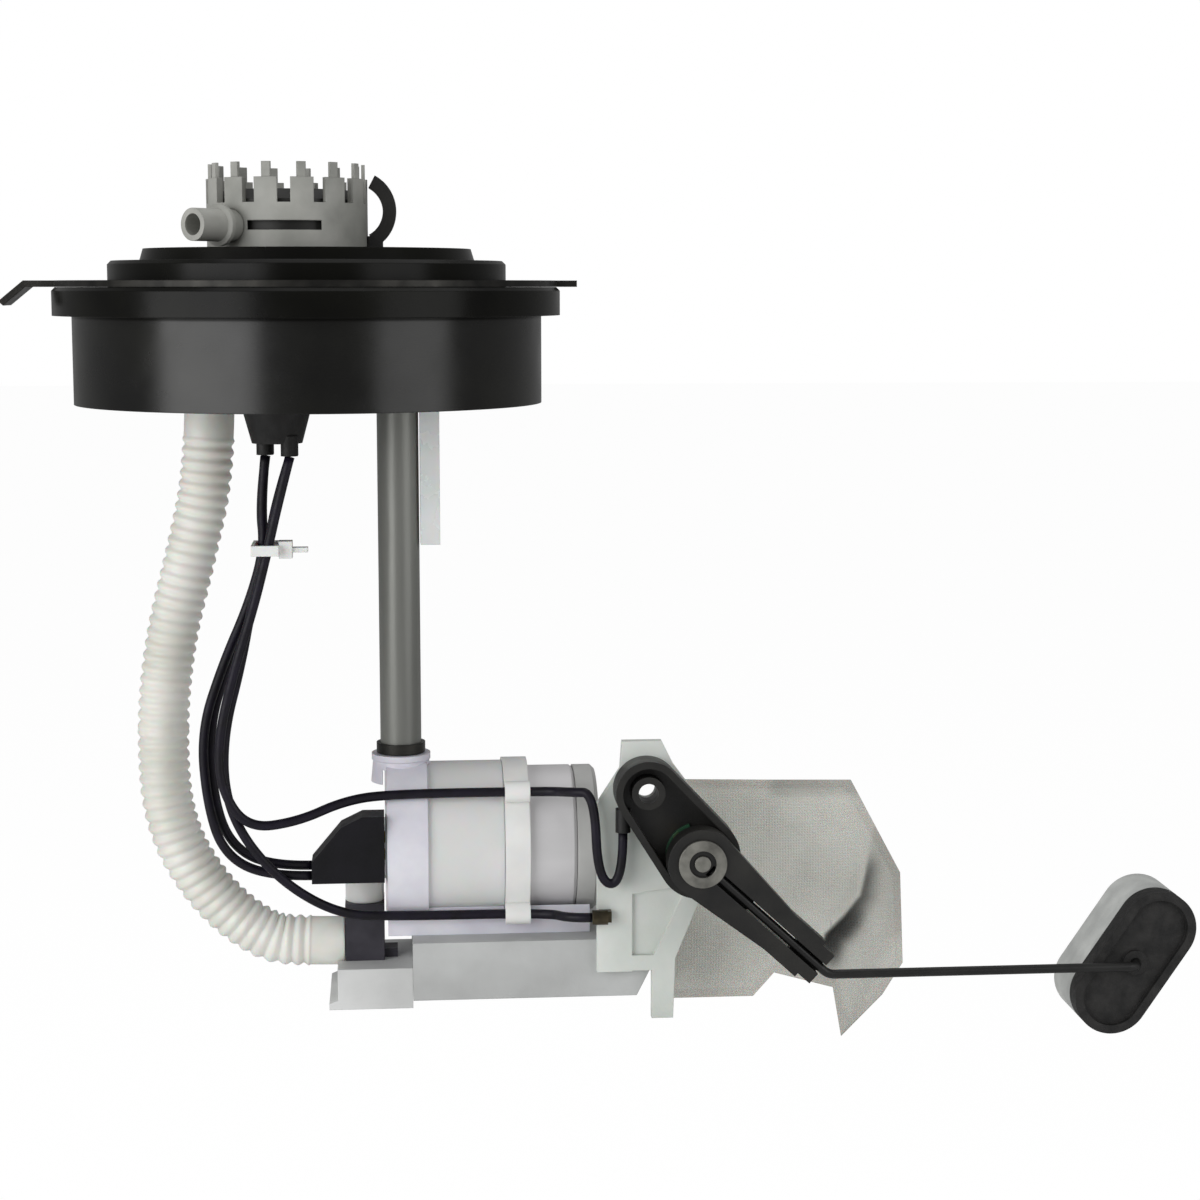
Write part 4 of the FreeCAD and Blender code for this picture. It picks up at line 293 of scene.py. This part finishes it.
# Each finish: its darker and lighter colour in sRGB, its patches per metre, the range of
# its roughness, the grain per metre, the strength of the grain, and other inputs.
SURFACES = {
    "black_plastic": ((10, 10, 9), (22, 22, 18), 40, (0.22, 0.30), 2600, 0.06, shine(0.4)),
    "deck_black": ((9, 9, 8), (20, 20, 16), 40, (0.20, 0.28), 2600, 0.06, shine(0.4)),
    "black_nylon": ((20, 20, 20), (40, 39, 36), 90, (0.34, 0.5), 2200, 0.2, shine(0.4)),
    "plug_black": ((6, 6, 9), (14, 13, 20), 120, (0.4, 0.55), 2200, 0.2, shine(0.25)),
    "elbow_nylon": ((44, 42, 50), (66, 64, 72), 90, (0.38, 0.55), 2200, 0.2, shine(0.4)),
    "grey_plastic": ((142, 143, 137), (180, 180, 174), 70, (0.40, 0.55), 1800, 0.2, {}),
    # turret_steel: the filter can's colour is darkened further, as painted shade, so the
    # crown's slots show dark.
    "turret_steel": ((24, 24, 23), (46, 46, 44), 60, (0.4, 0.55), 1800, 0.1, metal(0.3)),
    "tray_plastic": ((172, 173, 172), (196, 198, 197), 45, (0.45, 0.6), 1700, 0.2, {}),
    "pale_plastic": ((208, 209, 208), (226, 227, 226), 60, (0.4, 0.55), 1700, 0.18, {}),
    "cap_plastic": ((182, 182, 180), (204, 204, 202), 55, (0.35, 0.5), 1700, 0.15, {}),
    "white_plastic": ((228, 228, 226), (243, 243, 241), 55, (0.35, 0.5), 1700, 0.15,
                      milky(0.15, 0.002)),
    "bracket_plastic": ((203, 209, 202), (226, 230, 225), 50, (0.4, 0.55), 1700, 0.15,
                        milky(0.1, 0.002)),
    "collar_plastic": ((208, 205, 218), (232, 231, 238), 60, (0.35, 0.5), 1700, 0.15,
                       milky(0.15, 0.002)),
    "sleeve_plastic": ((220, 222, 218), (232, 226, 229), 42, (0.28, 0.42), 1500, 0.12,
                       milky(0.3, 0.003)),
    "clear_plastic": ((240, 242, 240), (250, 251, 250), 60, (0.2, 0.32), 1500, 0.04,
                      {"Transmission_Weight": 0.12, "IOR": 1.4, **milky(0.3, 0.003)}),
    "rod_black": ((10, 10, 10), (24, 24, 23), 120, (0.35, 0.5), 2400, 0.15, shine(0.4)),
    "dark_steel": ((30, 30, 29), (58, 57, 54), 120, (0.32, 0.5), 2400, 0.15, metal(0.85)),
    "steel": ((150, 152, 150), (190, 192, 190), 60, (0.25, 0.42), 900, 0.1, metal(0.9)),
    "washer_steel": ((104, 103, 98), (150, 149, 142), 240, (0.3, 0.5), 1600, 0.15,
                     metal(0.8)),
    "post_steel": ((98, 99, 96), (130, 131, 126), 60, (0.3, 0.42), 900, 0.1,
                   {"stretch": (1, 1, 0.06), "grain_stretch": (1, 1, 0.03), **metal(0.3)}),
    "can_zinc": ((212, 211, 212), (232, 230, 232), 60, (0.34, 0.48), 900, 0.1,
                 {"stretch": (0.08, 1, 1), **metal(0.15)}),
    "spring_steel": ((110, 112, 114), (150, 152, 154), 300, (0.25, 0.4), 2400, 0.1,
                     metal(1.0)),
    "brass": ((178, 150, 88), (205, 176, 108), 200, (0.25, 0.4), 2400, 0.1, metal(1.0)),
    "dark_brass": ((58, 54, 44), (92, 84, 66), 200, (0.3, 0.45), 2400, 0.1, metal(0.9)),
    "copper": ((160, 92, 60), (190, 112, 74), 400, (0.3, 0.45), 3000, 0.3, metal(1.0)),
    "iron": ((84, 84, 86), (112, 112, 114), 200, (0.4, 0.55), 2400, 0.2, metal(1.0)),
    "ferrite": ((44, 44, 46), (60, 60, 62), 200, (0.6, 0.8), 2400, 0.2, {}),
    "carbon": ((30, 30, 32), (44, 44, 46), 300, (0.5, 0.7), 2400, 0.2, {}),
    "card": ((24, 60, 40), (36, 78, 54), 200, (0.35, 0.5), 2000, 0.1, {}),
    "rubber": ((12, 12, 12), (24, 23, 22), 120, (0.5, 0.7), 2600, 0.25, shine(0.35)),
    "paper": ((206, 190, 150), (224, 210, 176), 200, (0.8, 0.95), 2000, 0.3, {}),
    "hose_nylon": ((220, 220, 211), (240, 240, 234), 55, (0.3, 0.45), 1600, 0.1,
                   milky(0.35, 0.003)),
    "wire_black": ((7, 5, 12), (20, 15, 32), 220, (0.4, 0.55), 3000, 0.15, shine(0.28)),
    "float_grey": ((176, 178, 176), (204, 206, 203), 120, (0.6, 0.8), 2200, 0.5, {}),
    "float_black": ((18, 18, 18), (40, 39, 38), 260, (0.55, 0.75), 2400, 0.6, shine(0.4)),
    "mesh": ((196, 196, 188), (228, 228, 220), 26, (0.5, 0.68), 1500, 0.1,
             milky(0.2, 0.002)),
}
MATERIALS = {}
for name, (*facts, others) in SURFACES.items():
    MATERIALS[name] = surface(name, *facts, **others)

RIM_FOOT = -0.0005
RIM_FADE = 0.0005
RIM_SHINE = 0.12
SIDE_SHINE = 0.4
WEAVE_SCALE = 430
WEAVE_WANDER = 0.4
WEAVE_STRENGTH = 0.5
WEAVE_DEPTH = 0.0003
# The dark colour of the strainer's mesh: painted shade of the fold and its flap, and the
# darker top band and seam.
PAINTED_SHADE_AND_SEAM_COLOUR = (30, 30, 28)


def dull_rim(material):
    """Less shine from the rim's foot upwards, where the moulding is textured."""
    tree = material.node_tree
    place = add(tree, "ShaderNodeTexCoord")
    parts = add(tree, "ShaderNodeSeparateXYZ")
    level = add(tree, "ShaderNodeMapRange", From_Min=RIM_FOOT - RIM_FADE,
                From_Max=RIM_FOOT, To_Min=SIDE_SHINE, To_Max=RIM_SHINE)
    link(tree, place.outputs["Object"], parts.inputs[0])
    link(tree, parts.outputs["Z"], level.inputs["Value"])
    link(tree, level.outputs["Result"],
         tree.nodes["Principled BSDF"].inputs["Specular IOR Level"])


def weave(material):
    """The relief of two crossed sets of threads, over the finish's own grain."""
    tree = material.node_tree
    place = add(tree, "ShaderNodeTexCoord")
    threads = []
    for turn in (0, math.pi / 2):
        mapping = add(tree, "ShaderNodeMapping", Rotation=(0, turn, 0))
        wave = add(tree, "ShaderNodeTexWave", Scale=WEAVE_SCALE, Distortion=WEAVE_WANDER)
        wave.bands_direction = "X"
        link(tree, place.outputs["Object"], mapping.inputs["Vector"])
        link(tree, mapping.outputs["Vector"], wave.inputs["Vector"])
        threads.append(wave.outputs["Fac"])
    relief, = [item for item in tree.nodes if item.bl_idname == "ShaderNodeBump"]
    cloth = add(tree, "ShaderNodeBump", Strength=WEAVE_STRENGTH, Distance=WEAVE_DEPTH)
    link(tree, maths(tree, "MAXIMUM", *threads), cloth.inputs["Height"])
    link(tree, relief.outputs["Normal"], cloth.inputs["Normal"])
    link(tree, cloth.outputs["Normal"], tree.nodes["Principled BSDF"].inputs["Normal"])


def shade_folds(material):
    """The colour goes to dark by the mesh's own shade value: painted shade in the fold and
    over its flap, a darker top band and the seam's own darker colour.
    """
    tree = material.node_tree
    base = tree.nodes["Principled BSDF"].inputs["Base Color"]
    shade = add(tree, "ShaderNodeAttribute")
    shade.attribute_name = "shade"
    first, second, mixed = colour_mix(tree, shade.outputs["Fac"])
    link(tree, base.links[0].from_socket, first)
    second.default_value = colour(*PAINTED_SHADE_AND_SEAM_COLOUR)
    link(tree, mixed, base)


dull_rim(MATERIALS["deck_black"])
weave(MATERIALS["mesh"])
shade_folds(MATERIALS["mesh"])

FINISHES = {
    "black_plastic": ["cup_floor", "connector_socket"],
    "deck_black": ["flange_cup"],
    "turret_steel": ["filter_can"],
    "grey_plastic": ["filter_crown", "supply_nipple"],
    "rod_black": ["float_rod"],
    "dark_steel": ["lock_ring", "post_ferrule"],
    "black_nylon": ["can_clip", "impeller", "sender_housing", "arm_holder"],
    "plug_black": ["pump_plug"],
    "elbow_nylon": ["outlet_elbow"],
    "post_steel": ["guide_post"],
    "can_zinc": ["pump_can"],
    "washer_steel": ["hub_ring", "pivot_pin"],
    "steel": ["regulator_body", "rotor_shaft", "float_nut"],
    "clear_plastic": ["guide_leg"],
    "sleeve_plastic": ["pump_sleeve"],
    "white_plastic": ["check_poppet", "outlet_cover", "pump_band", "pump_plate", "zip_tie"],
    "cap_plastic": ["inlet_cover"],
    "collar_plastic": ["cradle"],
    "bracket_plastic": ["sender_bracket"],
    "tray_plastic": ["base_tray"],
    "pale_plastic": ["foot"],
    "brass": ["connector_blades", "pump_terminals", "arm_wiper", "regulator_valve"],
    "dark_brass": ["sender_terminal"],
    "copper": ["commutator", "rotor_windings"],
    "iron": ["rotor_core"],
    "ferrite": ["pump_magnets"],
    "carbon": ["pump_brushes"],
    "card": ["sender_card"],
    "rubber": ["tank_seal", "wire_boot", "regulator_diaphragm"],
    "paper": ["filter_element"],
    "float_grey": ["float_body"],
    "float_black": ["float_cap"],
}


def dress(item, finish):
    item.data.materials.clear()
    item.data.materials.append(MATERIALS[finish])


for finish, names in FINISHES.items():
    for name in names:
        dress(nodes[name], finish)


# Pieces made here.

def new_piece(name, vertices, faces, finish):
    mesh = bpy.data.meshes.new(name)
    mesh.from_pydata(vertices, [], faces)
    mesh.validate()
    mesh.polygons.foreach_set("use_smooth", [True] * len(mesh.polygons))
    item = placed(name, mesh)
    dress(item, finish)
    return item


def route_line(name, route, resolution):
    """Points of the smooth line that a route's points control."""
    curve = bpy.data.curves.new(name + "_line", "CURVE")
    curve.dimensions = "3D"
    curve.resolution_u = resolution
    spline = curve.splines.new("NURBS")
    spline.points.add(len(route) - 1)
    for point, place in zip(spline.points, route):
        point.co = (*metres(place), 1)
    spline.order_u = 3
    spline.use_endpoint_u = True
    holder = bpy.data.objects.new(name + "_line", curve)
    mesh = bpy.data.meshes.new_from_object(holder)
    points = [vertex.co.copy() for vertex in mesh.vertices]
    bpy.data.objects.remove(holder)
    bpy.data.meshes.remove(mesh)
    return points


def run_length(points):
    return sum((b - a).length for a, b in zip(points, points[1:]))


def tube(name, points, radius_at, sides, finish):
    """A closed tube along the points, its radius a function of the way along."""
    vertices = []
    faces = []
    along = (points[1] - points[0]).normalized()
    across = along.orthogonal().normalized()
    way = 0
    for index, point in enumerate(points):
        if index:
            way += (point - points[index - 1]).length
        before = points[max(index - 1, 0)]
        after = points[min(index + 1, len(points) - 1)]
        heading = (after - before).normalized()
        across = (across - heading * across.dot(heading)).normalized()
        up = heading.cross(across)
        radius = radius_at(way)
        for side in range(sides):
            angle = 2 * math.pi * side / sides
            spoke = across * math.cos(angle) + up * math.sin(angle)
            vertices.append(point + spoke * radius)
    for index in range(len(points) - 1):
        for side in range(sides):
            a = index * sides + side
            b = index * sides + (side + 1) % sides
            faces.append((a, b, b + sides, a + sides))
    faces.append(tuple(range(sides - 1, -1, -1)))
    last = (len(points) - 1) * sides
    faces.append(tuple(range(last, last + sides)))
    return new_piece(name, vertices, faces, finish)


# Hose and wires. The routes are those of the part's source.

HOSE_ROUTE = [
    (-25.4, 0, -22.3),
    (-25.9, 0, -39.5),
    (-30.8, 0, -60.5),
    (-36.8, 0, -83),
    (-39.3, 0, -106),
    (-38.2, 0, -130.5),
    (-28, 0, -149.5),
    (-14, 0, -161.4),
    (-3.5, 0, -162.7),
    (6.9, 0, -162.7),
]
WIRE_ROUTES = {
    "pump_wire_one": [
        (-10.7, -18.6, -34.4),
        (-11.9, -18.6, -46),
        (-11.2, -18.6, -57),
        (-15.3, -18.6, -71),
        (-22, -18.6, -86),
        (-27.8, -18.6, -103),
        (-26.8, -18.6, -121),
        (-23, -18.6, -134.5),
        (-12.5, -18.6, -140.6),
        (-0.9, -18.6, -140.6),
    ],
    "pump_wire_two": [
        (-10.7, -15.8, -34.4),
        (-12.4, -15.8, -46.5),
        (-11.4, -15.8, -57.4),
        (-14.5, -15.8, -70),
        (-20.5, -15.8, -85),
        (-26, -15.8, -102),
        (-25.4, -15.8, -120),
        (-21.6, -15.8, -132.6),
        (-12, -15.8, -138.6),
        (-0.9, -15.8, -138.6),
    ],
    "sender_wire_one": [
        (-4.5, -24.2, -34.4),
        (-7.6, -24.2, -46),
        (-10.2, -24.2, -57),
        (-13.8, -24.2, -71),
        (-19, -24.2, -87),
        (-23.2, -24.2, -104),
        (-22.8, -24.2, -117),
        (-16.5, -23.9, -127),
        (-4, -22.3, -125.8),
        (7.5, -19, -121.4),
        (19, -17, -120.3),
        (59, -17, -120.3),
        (64.5, -25.5, -118.9),
        (70, -28.6, -118.4),
        (70.9, -28.6, -141.4),
        (77.2, -28.6, -142.2),
        (77.2, -28.6, -128.8),
    ],
    "sender_wire_two": [
        (-4.5, -21.4, -34.4),
        (-8.4, -21.4, -46.5),
        (-10.1, -21.4, -57.2),
        (-14.4, -21.4, -70.5),
        (-17.4, -21.4, -86),
        (-22, -21.4, -103),
        (-22.2, -21.4, -118.5),
        (-17.2, -21.4, -131),
        (-7, -21.4, -142.5),
        (6, -19.5, -150.6),
        (19, -17, -152.1),
        (59, -17, -152.1),
        (63.8, -27.5, -150.8),
        (69.4, -27.5, -150.8),
    ],
}
HOSE_RADIUS = 6.6 * MM
HOSE_FINENESS = 48
HOSE_SIDES = 40
RIB_DEPTH = 0.85 * MM
RIB_PITCH = 3.0 * MM
RIB_BLUNTNESS = 0.6
CUFF = 9.0 * MM
CUFF_STEP = 0.3 * MM
WIRE_RADIUS = 1.2 * MM
WIRE_FINENESS = 12
WIRE_SIDES = 14


def make_hose():
    """The corrugated hose, with a plain cuff at each end."""
    points = route_line("hose", HOSE_ROUTE, HOSE_FINENESS)
    length = run_length(points)

    def radius_at(way):
        room = min(way, length - way) - CUFF
        if room < 0:
            return HOSE_RADIUS - CUFF_STEP
        wave = 0.5 + 0.5 * math.cos(2 * math.pi * room / RIB_PITCH)
        return HOSE_RADIUS - RIB_DEPTH * (1 - wave ** RIB_BLUNTNESS)

    item = tube("hose_corrugated", points, radius_at, HOSE_SIDES, "hose_nylon")
    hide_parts("hose")
    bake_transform(item)


def make_wire(name, route):
    points = route_line(name, route, WIRE_FINENESS)
    item = tube(name + "_lead", points, lambda way: WIRE_RADIUS, WIRE_SIDES, "wire_black")
    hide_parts(name)
    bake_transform(item)


make_hose()
for name, route in WIRE_ROUTES.items():
    make_wire(name, route)


# Springs, each a copy of the part's coil fixed to its body. Their table: each one's body
# and joint, the height of its fixed end, its length and the joint's travel.

SPRINGS = {
    "post_spring": ("flange", "carrier_slide", 6.9, 40.9, 18.0),
    "regulator_spring": ("flange", "regulator_lift", 25.4, 6.2, 0.8),
    "check_spring": ("carrier", "check_lift", -159.3, 4.0, 1.5),
}


def make_spring(name, body, joint, anchor, height, travel):
    item = placed(name + "_coil", nodes[name].data.copy())
    dress(item, "spring_steel")
    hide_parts(name)
    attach(item, body)
    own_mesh(item)


for name, facts in SPRINGS.items():
    make_spring(name, *facts)


# Strainer. Its outline and fold are x and z, and its half thickness is along y.

STRAINER_OUTLINE = [
    (94, -121.4),
    (118.7, -122),
    (140.6, -122.4),
    (154.2, -147.7),
    (155.3, -172.4),
    (149.9, -181.1),
    (138.9, -192.3),
    (136.5, -178.8),
    (120.5, -174.3),
    (114.9, -180.6),
    (88.8, -180.6),
    (88.8, -158.6),
    (94, -150.6),
]
STRAINER_MIDDLE = (134, -150)
STRAINER_TOP = -122
STRAINER_HALF = 4.3
RIM_STEP = 1.3
RINGS = 40
RING_BIAS = 1.15
SEAM = 2.2
SEAM_HALF = 0.35
SWELL_RUN = 5.0
CREASE_ROOM = 1.2
FULLNESS = 0.8
CRUMPLE = 0.3
FAR = 1000

# The creases: the size of each kind, its slice of the noise and its share.
CREASES = [(13, 3.1, 1), (5, 7.7, 0.4)]

# The fold, and beside it the ridge and the dip: how high, how far to the right, how wide.
FOLD = [(145.3, -144.5), (143.4, -153.4), (138.8, -158.8), (134, -163.4), (132, -171)]
RIDGE = (0.9, -1.3, 1.6)
DIP = (2.2, 2.4, 2.3)

# How dark the cloth is made, from 0 to 1, and how far each dark part reaches: painted shade
# deep in the fold and over its right flap, a darker band along the top edge, and the seam's
# own darker colour.
FOLD_PAINTED_SHADE = 0.78
FOLD_LOWER = 0.42
LOWER_PAINTED_SHADE = 0.21
FOLD_EDGE = -0.3
FOLD_WIDTH = 2.6
LOWER_WIDTH = 3.2
FLAP_PAINTED_SHADE = 0.16
FLAP_WIDTH = 16
BAND_DARK = 0.24
BAND_WIDTH = 4.2
BAND_LEFT = 119
SEAM_DARK = 0.1


def along_outline(points, spacing):
    """Points every spacing or so along a closed outline, its corners kept."""
    dense = []
    for index, point in enumerate(points):
        start = Vector(point)
        stop = Vector(points[(index + 1) % len(points)])
        count = max(1, round((stop - start).length / spacing))
        for part in range(count):
            dense.append(start.lerp(stop, part / count))
    return dense


def seam_distance(place):
    """How far a point is inside the outline."""
    nearest = FAR
    for index, point in enumerate(STRAINER_OUTLINE):
        start = Vector(point)
        run = Vector(STRAINER_OUTLINE[(index + 1) % len(STRAINER_OUTLINE)]) - start
        share = max(0, min(1, (place - start).dot(run) / run.length_squared))
        nearest = min(nearest, (place - start - run * share).length)
    return nearest


def fold_place(place):
    """Where a point is beside the fold: its distance to the right, its share along."""
    lengths = [(Vector(b) - Vector(a)).length for a, b in zip(FOLD, FOLD[1:])]
    nearest, across, share = FAR, 0, 0
    done = 0
    for index, length in enumerate(lengths):
        start = Vector(FOLD[index])
        run = (Vector(FOLD[index + 1]) - start) / length
        low = -FAR if index == 0 else 0
        high = FAR if index == len(lengths) - 1 else length
        reach = max(low, min(high, (place - start).dot(run)))
        gap = place - start - run * reach
        side = 1 if run.x * gap.y - run.y * gap.x > 0 else -1
        if gap.length < nearest:
            nearest = gap.length
            across = side * gap.length
            share = (done + reach) / sum(lengths)
        done += length
    return across, share


def step(value, middle, sharpness):
    """A soft step from 0 to 1."""
    return 1 / (1 + math.exp(-max(-60, min(60, sharpness * (value - middle)))))


def span(share, margin, sharpness):
    """1 along the fold and a margin past its ends, and soft to 0 beyond."""
    return step(share, -margin, sharpness) * (1 - step(share, 1 + margin, sharpness))


def bell(across, height, middle, width):
    return height * math.exp(-((across - middle) / width) ** 2)


def fold_height(place):
    """The ridge left of the fold and the dip to its right, fading at both ends."""
    across, share = fold_place(place)
    fade = span(share, margin=0.05, sharpness=20)
    return fade * (bell(across, *RIDGE) - bell(across, *DIP))


def bag_shade(place):
    """Painted shade on the cloth, deepest in the fold and less on its right flap; with a
    darker band along the top edge and the seam's own darker colour.
    """
    across, share = fold_place(place)
    along = span(share, margin=0.02, sharpness=24)
    lower = step(share, FOLD_LOWER, sharpness=16)
    edge = step(across, FOLD_EDGE, sharpness=4)
    # Painted shade deep in the fold.
    deep = (FOLD_PAINTED_SHADE + LOWER_PAINTED_SHADE * lower) * along * edge
    deep *= 1 - step(across, FOLD_WIDTH + LOWER_WIDTH * lower, sharpness=1.3)
    # Painted shade over the fold's right flap.
    flap = FLAP_PAINTED_SHADE * edge * (1 - step(across, FLAP_WIDTH, sharpness=1.2))
    # Darker along the top edge, right of x 119.
    band = BAND_DARK * (1 - step(STRAINER_TOP - place.y, BAND_WIDTH, sharpness=3))
    band *= step(place.x, BAND_LEFT, sharpness=2)
    seam = SEAM_DARK if seam_distance(place) < SEAM else 0
    return min(1, deep + flap * (1 - deep) + band + seam)


def bag_depth(place):
    """Half the bag's thickness at a point."""
    inset = seam_distance(place)
    if inset <= SEAM:
        return SEAM_HALF
    swell = 1 - math.exp(-(inset - SEAM) / SWELL_RUN)
    crumple = sum(share * noise.noise(Vector((place.x / size, place.y / size, level)))
                  for size, level, share in CREASES)
    full = swell * (STRAINER_HALF - CREASE_ROOM) * (FULLNESS + CRUMPLE * crumple)
    depth = SEAM_HALF + full + swell * fold_height(place)
    return max(SEAM_HALF, min(STRAINER_HALF, depth))


def make_strainer():
    """The mesh bag: a welded flat seam all round and a swollen, creased middle."""
    rim = along_outline(STRAINER_OUTLINE, RIM_STEP)
    middle = Vector(STRAINER_MIDDLE)
    count = len(rim)
    places = [point.lerp(middle, (ring / RINGS) ** RING_BIAS)
              for ring in range(RINGS) for point in rim]
    places.append(middle)
    vertices = [metres((place.x, side * bag_depth(place), place.y))
                for side in (-1, 1) for place in places]
    faces = []
    for start, side in ((0, -1), (len(places), 1)):
        for ring in range(RINGS):
            for index in range(count):
                a = start + ring * count + index
                b = start + ring * count + (index + 1) % count
                if ring < RINGS - 1:
                    face = [a, b, b + count, a + count]
                else:
                    face = [a, b, start + len(places) - 1]
                faces.append(tuple(face if side < 0 else reversed(face)))
    for index in range(count):
        after = (index + 1) % count
        faces.append((after, index, len(places) + index, len(places) + after))
    item = new_piece("strainer_bag", vertices, faces, "mesh")
    # The shade value of each point: painted shade of the fold and its flap, the darker top
    # band and the seam's darker colour.
    shade = item.data.attributes.new("shade", "FLOAT", "POINT")
    shade.data.foreach_set("value", [bag_shade(place) for place in places] * 2)
    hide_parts("strainer")
    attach(item, "carrier")


make_strainer()

scene = bpy.context.scene
scene.view_settings.view_transform = "Standard"
